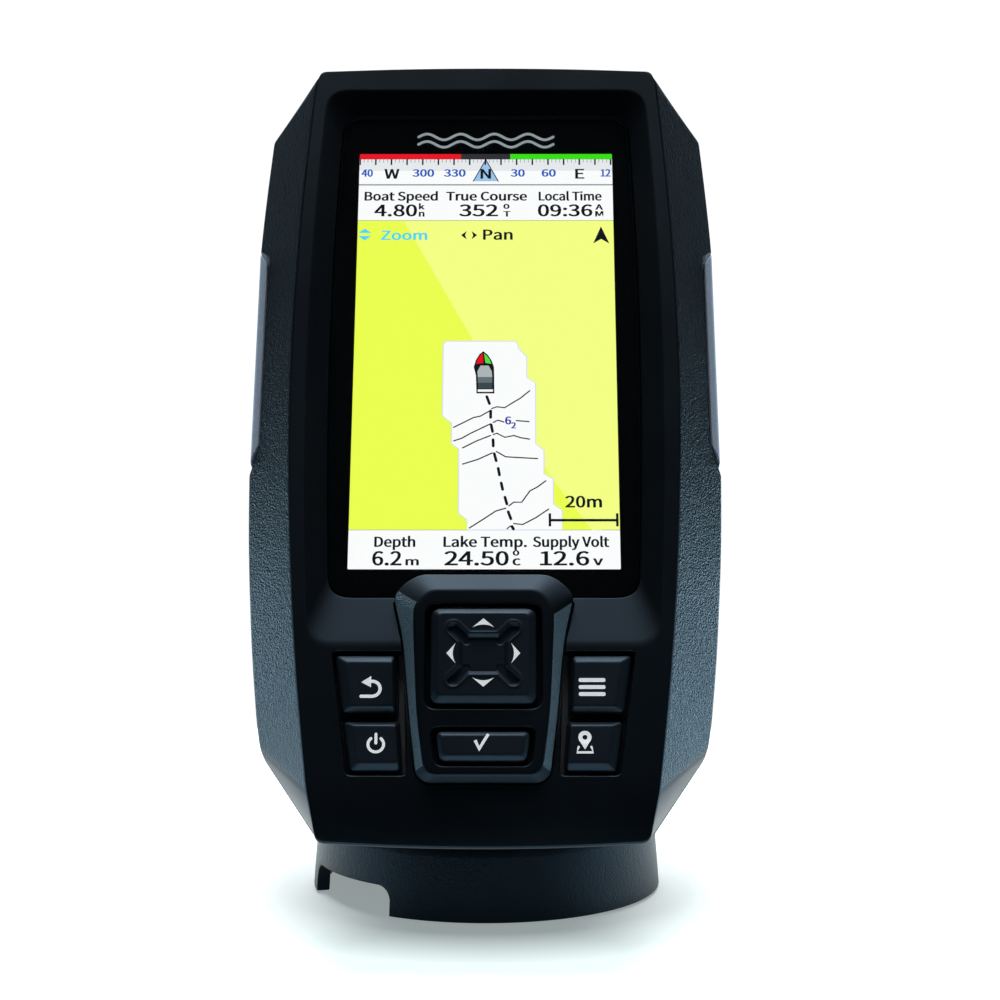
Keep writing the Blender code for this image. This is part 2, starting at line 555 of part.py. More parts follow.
def skirt_notch():
    """Cutter for the cable notch in the skirt."""
    start, end = (math.radians(a) for a in NOTCH_ANGLES)
    steps = 8
    angles = [start + (end - start) * i / steps for i in range(steps + 1)]
    inner = [(-28 * math.sin(a), -28 * math.cos(a)) for a in angles]
    outer = [(-44 * math.sin(a), -44 * math.cos(a)) for a in reversed(angles)]
    outline = inner + outer
    return loft("cable_notch", [[(x, y, -1) for x, y in outline], [(x, y, NOTCH_HEIGHT) for x, y in outline]],
                "cutter", None)


def swivel():
    """Swivel cover: skirt, dome, hub and the two yoke arms of the tilt hinge."""
    inner = SKIRT_RADIUS - SKIRT_WALL
    profile = [(SKIRT_RADIUS, 0.4), (36.9, 14.5), (36.2, 16.4), (34.6, 17.5), (22, 19.4), (18, 20), (2.6, 20),
               (2.6, 13.2), (8.35, 13.2), (8.35, 6.0), (11.6, 6.0), (11.6, 16.8), (22, 16.4), (33, 14.8),
               (34.2, 13.6), (inner, 0.4)]
    cover = turned("swivel_cover", profile, "mount", None, steps=64, closed=True)
    carve(cover, skirt_notch())
    for side, sign in (("left", -1), ("right", 1)):
        arm = [(-8.5, 17.6), (-8.5, TILT_HEIGHT)] + arc((0, TILT_HEIGHT), 8.5, 180, 0, 10)[1:] + [(8.5, 17.6)]
        across = (sign * YOKE_INNER, sign * YOKE_OUTER)
        add(cover, loft("yoke_" + side, [[(x, y, z) for y, z in arm] for x in across], "cutter", None))
    carve(cover, turned("tilt_bore", [(0, -20), (2.75, -20), (2.75, 20), (0, 20)], "cutter", None,
                        centre=(0, 0, TILT_HEIGHT), axis="X", steps=20))


def tilt_hardware():
    """Hinge bolt, its nut and the clamping knob."""
    axis = (0, 0, TILT_HEIGHT)
    turned("tilt_nut", [(3.0, -19.4), (5.6, -19.4), (5.6, -15.8), (3.0, -15.8)], "steel", None,
           centre=axis, axis="X", steps=6, closed=True)
    turned("tilt_bolt", [(0, -21), (2.4, -21), (2.5, -20.6), (2.5, 24.5), (0, 24.5)], "steel", None,
           centre=axis, axis="X", steps=20)
    steps = 48
    rim = [(10.2 + 0.8 * math.cos(6 * 2 * math.pi * i / steps), 2 * math.pi * i / steps) for i in range(steps)]
    outline = [(r * math.cos(a), TILT_HEIGHT + r * math.sin(a)) for r, a in rim]
    small = [(y * 0.88, TILT_HEIGHT + (z - TILT_HEIGHT) * 0.88) for y, z in outline]
    rings = [[(x, y, z) for y, z in ring] for x, ring in ((15.9, small), (17.0, outline), (25.5, outline),
                                                          (27.5, small))]
    knob = loft("tilt_knob", rings, "mount", None, origin=axis)
    carve(knob, turned("knob_bore", [(0, 15), (2.75, 15), (2.75, 24.9), (0, 24.9)], "cutter", None,
                       centre=axis, axis="X", steps=16))


def cradle(tilting):
    """Quick-release cradle that hangs on the tilt hinge, with its sprung catch."""
    low, high = CRADLE
    profile = [(24.4, 41.8), (24.4, 49.1), (-24.4, 49.1), (-24.4, 41.8), (-18.9, 41.8), (-18.9, 43.6),
               (-21.4, 43.6), (-21.4, 46.1), (21.4, 46.1), (21.4, 43.6), (18.9, 43.6), (18.9, 41.8)]
    body = loft("cradle", [[(x, y, low) for x, y in profile], [(x, y, high) for x, y in profile]], "mount",
                tilting)
    add(body, block("cradle_stop", (-24.4, 41.8, low), (24.4, 49.1, DOCK[0] - AIR), "cutter", tilting))
    carve(body, block("catch_slot", (-6.4, 45, 7.7), (6.4, 50, high + 1), "cutter", tilting))
    y_axis, z_axis = tilt_axis_in_unit()
    add(body, block("barrel_web", (-9.7, 48.6, z_axis - 6.6), (9.7, y_axis, z_axis + 6.6), "cutter", tilting))
    add(body, turned("barrel", [(0, -9.7), (7.5, -9.7), (7.5, 9.7), (0, 9.7)], "cutter", tilting,
                     centre=(0, y_axis, z_axis), axis="X", steps=28))
    carve(body, turned("barrel_bore", [(0, -12), (2.75, -12), (2.75, 12), (0, 12)], "cutter", tilting,
                       centre=(0, y_axis, z_axis), axis="X", steps=20))
    catch = [(46.5, 8.0), (46.5, 34.2), (44.5, 34.2), (44.5, 36.0), (46.5, 38.6), (46.5, 44.2), (51.0, 47.8),
             (52.0, 46.2), (48.5, 42.8), (48.5, 8.0)]
    loft("catch_tongue", [[(x, y, z) for y, z in catch] for x in (-6.0, 6.0)], "mount", tilting)


def tilt_axis_in_unit():
    """Depth and height of the tilt axis in the unit frame."""
    back, up = -UNIT_AT[1], TILT_HEIGHT - UNIT_AT[2]
    lean = math.radians(LEAN)
    return back * math.cos(lean) - up * math.sin(lean), back * math.sin(lean) + up * math.cos(lean)


def unit_frame(name):
    """Empty that carries the leaning unit frame."""
    frame = bpy.data.objects.new(name, None)
    bpy.context.scene.collection.objects.link(frame)
    frame.location = Vector(UNIT_AT) * MM
    frame.rotation_euler = (-math.radians(LEAN), 0, 0)
    return frame


def main():
    """Clears the scene and builds every piece."""
    for old in list(bpy.data.objects):
        bpy.data.objects.remove(old, do_unlink=True)
    base()
    swivel()
    tilt_hardware()
    unit = unit_frame("unit_frame")
    cradle(unit)
    front_housing(unit)
    rear_housing(unit)
    keypad_surround(unit)
    case_fittings(unit)
    display(unit)
    electronics(unit)
    connector(unit)
    keys(unit)
    four_way_pad(unit)


main()
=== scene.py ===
"""Visual model of a portrait fish finder on its tilt-and-swivel mount.

The unit leans back, so its pieces are worked out in the unit's own frame: x across, y into the case
from the front rim, z up the face from the bottom of the picture. Mount pieces are worked out in the
world frame. Outlines are in millimetres and become metres when a mesh is made.
"""

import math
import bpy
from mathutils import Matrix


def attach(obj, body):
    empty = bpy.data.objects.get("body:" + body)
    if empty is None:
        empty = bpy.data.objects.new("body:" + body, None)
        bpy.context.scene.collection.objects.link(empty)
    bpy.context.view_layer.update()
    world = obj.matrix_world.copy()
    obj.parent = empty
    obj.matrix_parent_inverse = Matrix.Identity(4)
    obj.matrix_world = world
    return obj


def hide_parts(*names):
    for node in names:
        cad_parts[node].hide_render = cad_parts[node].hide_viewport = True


bl_info = {
    "name": "Fish Finder",
    "version": (1, 0, 0),
    "blender": (4, 5, 0),
    "location": "3D View > Sidebar > Finder",
    "description": "Builds the fish finder, its mount and its studio",
    "category": "Object",
}

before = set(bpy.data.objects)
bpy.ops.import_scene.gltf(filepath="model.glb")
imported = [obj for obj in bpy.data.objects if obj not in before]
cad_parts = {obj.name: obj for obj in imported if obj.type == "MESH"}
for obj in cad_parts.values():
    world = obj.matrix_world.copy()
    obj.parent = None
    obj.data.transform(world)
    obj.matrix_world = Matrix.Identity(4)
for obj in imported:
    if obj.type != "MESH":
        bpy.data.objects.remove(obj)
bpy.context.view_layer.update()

import bmesh
import bpy
import numpy as np
from mathutils import Matrix

MM = 0.001

SIDES = (("left", -1), ("right", 1))

# ---- where the unit sits --------------------------------------------------------------------------
LEAN = math.radians(26.4)
UNIT_AT = np.array((0.0, -51.7, 75.3))
UNIT_AXES = np.array((
    (1.0, 0.0, 0.0),
    (0.0, math.cos(LEAN), -math.sin(LEAN)),
    (0.0, math.sin(LEAN), math.cos(LEAN)),
))
TILT_AXIS = np.array((0.0, 0.0, 42.0))

# ---- case outlines: right halves from top centre to bottom centre, as (across, up) -----------------
CREASE = ((0, 114.9), (18, 114.7), (35.6, 114.0), (36.4, 111.2), (37.5, 95.4), (38.65, 76.7), (39.3, 55),
          (39.4, 38), (39.0, 22), (38.0, 2), (36.7, -15), (35.1, -30.4), (33.2, -45.4), (31.2, -55.4),
          (16, -56.25), (0, -56.5))
WIDEST = ((0, 113.6), (18, 113.5), (36.6, 112.8), (46.9, 106.2), (47.9, 93), (48.75, 78.5), (49.1, 57),
          (49.1, 40), (48.85, 25.1), (48.2, 8), (46.6, -13), (44.9, -28), (43.9, -33.5), (32.3, -50.6),
          (16, -51.3), (0, -51.5))
WIDEST_TOP, WIDEST_BOTTOM = 113.6, -51.5
CREASE_RADII = (9, 9, 1.1, 1.1, 7, 9, 9, 9, 9, 9, 9, 7, 1.6, 1.6, 8, 8)
WIDEST_RADII = (9, 9, 1.0, 1.0, 7, 9, 9, 9, 9, 9, 9, 2.6, 1.8, 2.0, 8, 8)
PART_LINE, PART_GAP = 17.0, 0.35
CHIN_LINE, CHIN_DROP, CHIN_REACH = -46.7, 1.5, 9.3

# Screen recess, window and picture: top, bottom, half width, bow of the sides, corner radius.
RECESS = (109.0, -16.5, 36.35, 2.4, 4.8)
WINDOW = (103.75, -6.0, 31.75, 1.45, 4.2)
SEAT = (103.87, -6.12, 31.87, 1.45, 4.3)
PICTURE_HOLE = (98.6, -1.8, 29.2, 0.0, 1.0)
PICTURE = (95.22, 0.1, 26.93, 0.0, 0.3)
GLASS_FRONT, GLASS_BACK = 2.4, 3.5
LEDGE, CAVITY_FRONT = 3.6, 5.2

# Keypad surround: right halves from top to bottom.
SURROUND_BASE = ((12.6, -2.15), (15.6, -4.1), (17.6, -6.63), (15.6, -16.3), (14.3, -31.0), (13.0, -41.2),
                 (12.7, -42.6), (11.0, -44.15))
SURROUND_FACE = ((10.1, -6.1), (12.0, -7.6), (13.3, -10.0), (13.1, -16.3), (12.4, -31.0), (11.2, -40.2),
                 (10.8, -41.9), (9.5, -43.0))
SURROUND_HOLE = ((17.9, -6.9), (15.9, -16.3), (14.6, -31.0), (13.3, -41.2), (12.95, -42.75), (11.1, -44.45))
BASE_RADII = (3.0, 2.2, 1.3, 4.0, 6.0, 0.9, 1.1, 1.5)
FACE_RADII = (2.6, 2.0, 2.0, 3.0, 6.0, 0.9, 1.0, 1.2)
SURROUND_FRONT, SURROUND_BACK = -2.0, 2.1
BEFORE_CASE = -3.0

# Four-way pad and keys: outline, face outline, retaining flange.
PAD_CENTRE = -19.5
PAD_HALF_X, PAD_HALF_Z = 10.15, 9.6
PAD_FRONT, ENTER_FRONT, KEY_FRONT = -3.0, -2.8, -0.6
SIDE_KEY_DEPTHS = (KEY_FRONT, 0.55, 2.25, 2.55)
ENTER_KEY_DEPTHS = (ENTER_FRONT, -1.95, 0.5, 1.1)
BACK_KEY = ((-28.6, -18.65), (-16.95, -18.65), (-16.55, -30.1), (-27.0, -30.1))
BACK_FACE = ((-26.5, -20.3), (-17.55, -20.3), (-17.1, -29.2), (-25.2, -29.2))
BACK_FLANGE = ((-29.9, -17.4), (-16.5, -17.4), (-16.1, -30.9), (-28.0, -30.9))
POWER_KEY = ((-26.65, -31.95), (-16.1, -31.95), (-15.6, -41.7), (-25.3, -41.7))
POWER_FACE = ((-24.7, -33.0), (-16.6, -33.0), (-16.05, -40.3), (-23.7, -40.3))
POWER_FLANGE = ((-27.9, -31.3), (-15.9, -31.3), (-15.1, -43.2), (-26.4, -43.2))
ENTER_KEY = ((-9.0, -34.6), (9.0, -34.6), (8.25, -40.4), (-8.25, -40.4))
KEY_OPENING = ((-29.2, -17.9), (-15.45, -17.9), (-14.5, -42.6), (-25.8, -42.6))
KEY_POCKET = (-31.5, 31.5, -44.5, -17.0)
KEY_POCKET_FRONT = 2.2

# Side notches and their grips.
NOTCH = ((46.2, 31.0), (46.2, 74.9), (51.0, 81.8), (51.0, 21.0))
GRIP = ((46.6, 31.5), (46.6, 74.3), (48.5, 77.0), (48.5, 27.6))
GRIP_FRONT, GRIP_BACK, NOTCH_BACK = 13.6, 26.4, 26.8

# Back of the case.
REAR_FACE, REAR_WALL = 41.5, 2.2
SCREW_PLACES = {"upper_right": (36.5, 92.0), "upper_left": (-36.5, 92.0),
                "lower_right": (35.0, -27.0), "lower_left": (-35.0, -27.0)}
SCREW_SEAT = 24.0
SOCKET_UP = 62.0
VENT_PLACE = (24, 70)
DOCK_PROFILE = ((-18.6, 41.2), (18.6, 41.2), (18.6, 43.9), (21.1, 43.9), (21.1, 45.8), (-21.1, 45.8),
                (-21.1, 43.9), (-18.6, 43.9))
DOCK_LOW, DOCK_HIGH = -25.0, 42.0

# Mount: outer wall of the cover from its rim up over the dome, and back down inside, as (radius, up).
COVER_PROFILE = ((38.0, 0.4), (37.55, 6.0), (37.1, 12.0), (36.75, 15.4), (34.6, 17.6), (28.0, 18.6),
                 (20.0, 19.8), (12.0, 20.0), (2.6, 20.0), (2.6, 13.2), (8.35, 13.2), (8.35, 6.0),
                 (11.6, 6.0), (11.6, 16.8), (22.0, 16.4), (33.0, 14.8), (34.2, 13.0), (34.9, 6.0),
                 (35.2, 0.4))
COVER_RADII = (0.35, 2.5, 2.5, 2.2, 2.2, 3.0, 3.0, 3.0, 0.4, 0.3, 0.3, 0.3, 0.3, 1.2, 3.0, 1.5, 1.2, 2.0,
               0.35)
SKIRT_INSIDE, SKIRT_MIDDLE = 34.5, 36.0
NOTCH_START, NOTCH_END = math.radians(31.5), math.radians(75.0)
NOTCH_HEIGHT, NOTCH_CORNER, NOTCH_FADE = 6.5, 3.4, 12.0
YOKE_INNER, YOKE_OUTER, YOKE_HALF, YOKE_FOOT, YOKE_BEVEL = 10.0, 15.5, 8.5, 17.2, 0.8


# ---- settings -------------------------------------------------------------------------------------
def colour_setting(name, description, default):
    """Colour property with linear red, green and blue."""
    return bpy.props.FloatVectorProperty(name=name, description=description, default=default,
                                         subtype="COLOR", size=3, min=0.0, max=1.0)


def length_setting(name, description, default):
    """Length property in metres."""
    return bpy.props.FloatProperty(name=name, description=description, default=default, min=0.0,
                                   precision=5, unit="LENGTH")


class FinderCaseSettings(bpy.types.PropertyGroup):
    """Sizes and colours of the case."""

    crease_radius: length_setting("Crease radius", "Rounding of the edge round the front", 0.0010)
    recess_radius: length_setting("Recess radius", "Rounding of the edge of the screen recess", 0.0009)
    opening_radius: length_setting("Opening radius", "Rounding of the lips round the keys", 0.0003)
    leather_depth: length_setting("Leather depth", "Height of the grain on the side facets", 0.00010)
    front_colour: colour_setting("Front", "Plastic of the front shell", (0.0010, 0.0013, 0.0015))
    side_colour: colour_setting("Sides", "Plastic of the grained facets", (0.0016, 0.0026, 0.0032))
    # The flanks' colour is far lighter than the front's: painted light for the side light they catch.
    flank_colour_painted_light: colour_setting("Flanks", "Plastic of the keypad surround's flanks", (0.100, 0.158, 0.198))
    rear_colour: colour_setting("Rear", "Plastic of the rear shell", (0.0040, 0.0048, 0.0056))
    # The grips' colour is partly their own silver-grey paint and partly painted light: made much lighter and
    # bluer for the light they catch.
    grip_colour_painted_light: colour_setting("Grips", "Painted bands in the side notches", (0.64, 0.77, 1.0))


class FinderKeySettings(bpy.types.PropertyGroup):
    """Sizes and colours of the keys."""

    bevel_radius: length_setting("Bevel radius", "Rounding of the edges of the caps", 0.0004)
    print_height: length_setting("Print height", "How far the symbols stand up", 0.00004)
    key_colour: colour_setting("Keys", "Plastic of the key caps", (0.0056, 0.0078, 0.0104))
    print_colour: colour_setting("Symbols", "Paint of the symbols", (0.86, 0.90, 0.92))


class FinderScreenSettings(bpy.types.PropertyGroup):
    """Colours and brightness of the picture."""

    brightness: bpy.props.FloatProperty(name="Brightness", description="Strength of the picture's light",
                                        default=1.1, min=0.0, soft_max=4.0)
    land_colour: colour_setting("Land", "Chart ground left of the sheen", (0.832, 0.991, 0.083))
    # The sheen colour is a painted sheen: a glare drawn as lighter chart ground right of the sheen line.
    painted_sheen_colour: colour_setting("Sheen", "Chart ground right of the sheen", (0.913, 1.0, 0.235))
    paper_colour: colour_setting("Paper", "Data rows and surveyed water", (0.975, 0.98, 0.985))
    ink_colour: colour_setting("Ink", "Lettering and chart lines", (0.006, 0.008, 0.014))
    blue_colour: colour_setting("Blue", "Compass figures", (0.02, 0.10, 0.52))
    sky_colour: colour_setting("Light blue", "Active menu word", (0.08, 0.66, 0.93))


class FinderMountSettings(bpy.types.PropertyGroup):
    """Sizes and colours of the mount."""

    edge_radius: length_setting("Edge radius", "Rounding of the cradle and the catch", 0.0006)
    grain_depth: length_setting("Grain depth", "Height of the grain on the cover", 0.00005)
    mount_colour: colour_setting("Mount", "Plastic of the mount", (0.0012, 0.0018, 0.0024))


class FinderStudioSettings(bpy.types.PropertyGroup):
    """Light of the studio."""

    top_light: bpy.props.FloatProperty(name="Top light", description="Strength of the broad light above",
                                       default=2.9, min=0.0, soft_max=20.0)
    side_light: bpy.props.FloatProperty(name="Side light", description="Power of each low side strip",
                                        default=2.2, min=0.0, soft_max=50.0, unit="POWER")
    floor_colour: colour_setting("Floor", "Paint of the floor", (0.86, 0.88, 0.88))


# ---- outlines and surfaces ------------------------------------------------------------------------
def mirrored_half(half):
    """Full outline from a right half: the half, then its mirror image in reverse without centre points."""
    half = np.asarray(half, float)
    other = half[::-1]
    other = other[other[:, 0] > 0] * (-1, 1)
    return np.concatenate([half, other])


def mirrored_radii(half, radii):
    """Corner radii that match mirrored_half."""
    radii = np.asarray(radii, float)
    off_centre = np.asarray(half, float)[::-1, 0] > 0
    return np.concatenate([radii, radii[::-1][off_centre]])


def loop(corners, radii, edge_steps=6, arc_steps=6):
    """Closed outline through rounded corners.

    Each corner becomes a quadratic curve: it starts one radius before the corner, is drawn towards
    the corner, and ends one radius after it, and a radius is never more than half an edge. Straight
    stretches with evenly spaced points join the curves.
    """
    corners = np.asarray(corners, float)
    back = np.roll(corners, 1, 0) - corners
    ahead = np.roll(corners, -1, 0) - corners
    back_length = np.linalg.norm(back, axis=1, keepdims=True)
    ahead_length = np.linalg.norm(ahead, axis=1, keepdims=True)
    reach = np.broadcast_to(np.asarray(radii, float), len(corners))[:, None]
    reach = np.minimum(reach, 0.499 * np.minimum(back_length, ahead_length))
    start = corners + back / back_length * reach
    end = corners + ahead / ahead_length * reach
    t = np.linspace(0, 1, arc_steps + 1)[None, :, None]
    arcs = (1 - t) ** 2 * start[:, None] + 2 * t * (1 - t) * corners[:, None] + t ** 2 * end[:, None]
    s = (np.arange(1, edge_steps) / edge_steps)[None, :, None]
    edges = (1 - s) * end[:, None] + s * np.roll(start, -1, 0)[:, None]
    return np.concatenate([arcs, edges], axis=1).reshape(-1, 2)


def offset(corners, distance):
    """Outline moved outwards by a distance: each corner goes along the sum of its two edge normals."""
    corners = np.asarray(corners, float)
    ahead = np.roll(corners, -1, 0) - corners
    ahead /= np.linalg.norm(ahead, axis=1, keepdims=True)
    normal = np.stack([ahead[:, 1], -ahead[:, 0]], axis=1)
    area = np.sum(corners[:, 0] * np.roll(corners[:, 1], -1) - corners[:, 1] * np.roll(corners[:, 0], -1))
    normal *= np.sign(area)
    before = np.roll(normal, 1, 0)
    share = distance / (1 + np.sum(normal * before, axis=1, keepdims=True))
    return corners + (normal + before) * share


def turns(steps):
    """Evenly spaced angles round a circle."""
    return np.linspace(0, 2 * math.pi, steps, endpoint=False)


def spokes(angle):
    """Points at angles on a circle with a radius of one."""
    return np.stack([np.cos(angle), np.sin(angle)], axis=1)


def circle(centre, radius, steps=48):
    """Evenly spaced points on a circle."""
    return np.asarray(centre, float) + radius * spokes(turns(steps))


def star(radius, swing, steps=72):
    """Outline of a star socket: the radius swings with the cosine of six times the angle."""
    angle = turns(steps)
    return spokes(angle) * (radius + swing * np.cos(6 * angle))[:, None]


def at_depth(outline, depth):
    """Outline of (across, up) laid at a depth, which may differ from point to point."""
    outline = np.asarray(outline, float)
    depth = np.broadcast_to(np.asarray(depth, float), len(outline))
    return np.stack([outline[:, 0], depth, outline[:, 1]], axis=1)


def resized(across, top, bottom):
    """Widest case outline with its width scaled and its height fitted between a new top and bottom."""
    half = np.asarray(WIDEST, float)
    stretch = (top - bottom) / (WIDEST_TOP - WIDEST_BOTTOM)
    half = np.stack([half[:, 0] * across, bottom + (half[:, 1] - WIDEST_BOTTOM) * stretch], axis=1)
    return loop(mirrored_half(half), mirrored_radii(WIDEST, WIDEST_RADII))


def case_loop(half, radii):
    """Rounded full outline of the case from one of its halves."""
    return loop(mirrored_half(half), mirrored_radii(half, radii))


def matched(top, bottom, half_width, bow, radius):
    """Upright opening with bowed sides, with as many corners as the case outline has.

    The half width falls by the bow times the square of the share of the way from middle to end.
    """
    middle, reach = (top + bottom) / 2, (top - bottom) / 2
    up = np.linspace(top - 2 * radius, bottom + 2 * radius, 10)
    up = np.concatenate([[top], up, [bottom]])
    across = half_width - bow * ((up - middle) / reach) ** 2
    side = np.stack([across, up], axis=1)
    half = np.concatenate([[(0, top), (across[0] / 2, top)], side, [(across[-1] / 2, bottom), (0, bottom)]])
    radii = [9, 9, radius] + [9] * 10 + [radius, 9, 9]
    return loop(mirrored_half(half), mirrored_radii(half, radii))


def blended(first, last, count):
    """Rings between two rings, evenly spaced, without the two."""
    t = (np.arange(1, count + 1) / (count + 1))[:, None, None]
    return list((1 - t) * first + t * last)


def filleted(rings, radii, steps=4, cyclic=False):
    """Rings with corners rounded along the other direction.

    A ring with a radius is replaced by rings on a quadratic curve, which starts one radius towards
    the ring before, is drawn towards the ring, and ends one radius towards the ring after.
    """
    made = []
    count = len(rings)
    for i, (ring, radius) in enumerate(zip(rings, radii)):
        at_end = not cyclic and i in (0, count - 1)
        if radius <= 0 or at_end:
            made.append(ring)
            continue
        back = rings[i - 1] - ring
        ahead = rings[(i + 1) % count] - ring
        back_length = np.maximum(np.linalg.norm(back, axis=1, keepdims=True), 1e-6)
        ahead_length = np.maximum(np.linalg.norm(ahead, axis=1, keepdims=True), 1e-6)
        start = ring + back * np.minimum(radius / back_length, 0.48)
        end = ring + ahead * np.minimum(radius / ahead_length, 0.48)
        for t in np.linspace(0, 1, steps + 1):
            made.append((1 - t) ** 2 * start + 2 * t * (1 - t) * ring + t ** 2 * end)
    return made


def skin(rings, cyclic=False):
    """Points and faces of a surface through rings of equal size.

    Point k of ring r joins point k + 1 and ring r + 1 in four-sided faces. A surface that isn't
    cyclic is closed with a flat face over its first ring and over its last.
    """
    rings = np.asarray(rings, float)
    count, size = rings.shape[:2]
    index = np.arange(count * size).reshape(count, size)
    if cyclic:
        index = np.concatenate([index, index[:1]])
    low, high = index[:-1], index[1:]
    quads = np.stack([low, np.roll(low, -1, 1), np.roll(high, -1, 1), high], axis=-1).reshape(-1, 4)
    faces = quads.tolist()
    if not cyclic:
        faces.append(index[0][::-1].tolist())
        faces.append(index[-1].tolist())
    return rings.reshape(-1, 3), faces


def revolved(profile, radii, steps=96, axis="Y", centre=(0, 0, 0)):
    """Rings of a surface of revolution: a profile of (radius, along) carried round an axis."""
    across, beside = spokes(turns(steps)).T
    rings = []
    for radius, along in profile:
        flat = np.full(steps, float(along))
        order = {
            "X": (flat, radius * across, radius * beside),
            "Y": (radius * beside, flat, radius * across),
            "Z": (radius * across, radius * beside, flat),
        }[axis]
        rings.append(np.stack(order, axis=1) + np.asarray(centre, float))
    return filleted(rings, radii)


def joined(parts):
    """Several (points, faces) pairs as one."""
    points, faces, start = [], [], 0
    for some_points, some_faces in parts:
        points.append(some_points)
        faces += [[corner + start for corner in face] for face in some_faces]
        start += len(some_points)
    return np.concatenate(points), faces


def prism(outline, front, back):
    """Flat plate between two depths with an outline of (across, up)."""
    return skin([at_depth(outline, front), at_depth(outline, back)])


def rectangle(left, right, low, high):
    """Four corners of a rectangle."""
    return [(left, low), (right, low), (right, high), (left, high)]


def columns(first, last):
    """Places along a case loop between the arcs of two of its corners."""
    return np.arange(first * 12 + 3, last * 12 + 3)


# ---- meshes and pieces ----------------------------------------------------------------------------
def mesh_object(name, points, faces, leaning=True):
    """Mesh object from millimetre points, turned right side out by the sign of its volume."""
    points = np.asarray(points, float)
    if leaning:
        points = points @ UNIT_AXES + UNIT_AT
    mesh = bpy.data.meshes.new(name)
    mesh.from_pydata((points * MM).tolist(), [], faces)
    solid = bmesh.new()
    solid.from_mesh(mesh)
    if solid.calc_volume(signed=True) < 0:
        bmesh.ops.reverse_faces(solid, faces=solid.faces)
        solid.to_mesh(mesh)
    solid.free()
    piece = bpy.data.objects.new(name, mesh)
    bpy.context.scene.collection.objects.link(piece)
    return piece


def smoothed(piece, sharp=32.0):
    """Smooth shading with edges kept sharp past an angle in degrees, and large faces kept flat."""
    piece.data.shade_smooth()
    piece.data.set_sharp_from_angle(angle=math.radians(sharp))
    weighted = piece.modifiers.new("even_shading", "WEIGHTED_NORMAL")
    weighted.mode = "FACE_AREA"
    weighted.keep_sharp = True
    return piece


def carved(piece, cutters):
    """Takes each cutter's shape out of the piece, and removes the cutters."""
    for cutter in cutters:
        step = piece.modifiers.new("carve", "BOOLEAN")
        step.operation = "DIFFERENCE"
        step.solver = "EXACT"
        step.object = cutter
    settled = piece.evaluated_get(bpy.context.evaluated_depsgraph_get())
    mesh = bpy.data.meshes.new_from_object(settled)
    piece.modifiers.clear()
    piece.data = mesh
    for cutter in cutters:
        bpy.data.objects.remove(cutter, do_unlink=True)
    return piece


def bevelled(piece, width, segments, angle=30):
    """Bevels the edges that are sharper than an angle in degrees."""
    bevel = piece.modifiers.new("edges", "BEVEL")
    bevel.width = width
    bevel.segments = segments
    bevel.limit_method = "ANGLE"
    bevel.angle_limit = math.radians(angle)
    return piece


def plate_cutter(outline, front, back):
    """Straight cutter through the case."""
    return mesh_object("cutter", *prism(outline, front, back))


def notch_cutters(front, back):
    """Straight cutters for the side notches."""
    return [plate_cutter(loop(np.asarray(NOTCH) * (side, 1), 0.7), front, back) for side in (1, -1)]


def flared_cutter(corners, radius, front, surface, back, lip):
    """Cutter whose walls open out in a quarter circle where they meet a surface.

    The outline grows by the lip times one less the sine of the angle, while its depth goes towards
    the surface by the lip times the cosine.
    """
    rings = [at_depth(loop(offset(corners, lip), radius + lip), front)]
    for angle in np.linspace(0.06, 1.0, 7) * math.pi / 2:
        out = lip * (1 - math.sin(angle))
        deep = surface + lip * (1 - math.cos(angle)) - 0.02 * (angle < 0.2)
        rings.append(at_depth(loop(offset(corners, out), radius + out), deep))
    rings.append(at_depth(loop(corners, radius), back))
    return mesh_object("cutter", *skin(rings))


def placed(piece, body, materials, stands_for=()):
    """Gives a finished piece its materials, body and the nodes it stands for."""
    for material in materials:
        piece.data.materials.append(material)
    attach(piece, body)
    if stands_for:
        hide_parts(*stands_for)
    return piece


def softened(name, node, width, material, body):
    """Copy of a CAD node with its flat faces joined up again and its edges bevelled."""
    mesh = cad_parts[node].data.copy()
    mesh.materials.clear()
    solid = bmesh.new()
    solid.from_mesh(mesh)
    bmesh.ops.remove_doubles(solid, verts=solid.verts, dist=1e-6)
    bmesh.ops.dissolve_limit(solid, angle_limit=math.radians(0.6), verts=solid.verts, edges=solid.edges)
    bmesh.ops.recalc_face_normals(solid, faces=solid.faces)
    solid.to_mesh(mesh)
    solid.free()
    piece = bpy.data.objects.new(name, mesh)
    bpy.context.scene.collection.objects.link(piece)
    smoothed(bevelled(piece, width, 3, 35), 50)
    return placed(piece, body, [material], (node,))


def finished(name, rings, body, material, node=None, sharp=50, cyclic=False, leaning=True):
    """Smooth piece through rings, with its material, body and the node it stands for."""
    piece = smoothed(mesh_object(name, *skin(rings, cyclic), leaning), sharp)
    return placed(piece, body, [material], (node,) if node else ())


def second_material(piece, faces):
    """Gives a piece's second material to the faces with some numbers."""
    index = np.zeros(len(piece.data.polygons), int)
    index[faces] = 1
    piece.data.polygons.foreach_set("material_index", index)


# ---- materials ------------------------------------------------------------------------------------
COOL_SHEEN = (0.40, 0.68, 1.0, 1.0)
PATTERN_SPAN = (0.3, 0.7)
FINE_GRAIN_SCALE, WEAR_SCALE, CELL_GRID_SCALE = 5200.0, 38.0, 1590.0


def finish_material(name, colour, roughness, metallic=0.0, **sockets):
    """Material with a Principled shader, and its node tree's parts."""
    material = bpy.data.materials.new(name)
    material.use_nodes = True
    tree = material.node_tree
    shader = tree.nodes["Principled BSDF"]
    shader.inputs["Base Color"].default_value = (*colour, 1.0)
    shader.inputs["Roughness"].default_value = roughness
    shader.inputs["Metallic"].default_value = metallic
    for socket, value in sockets.items():
        shader.inputs[socket.replace("_", " ")].default_value = value
    place = tree.nodes.new("ShaderNodeTexCoord")
    return material, tree, shader, place.outputs["Object"]


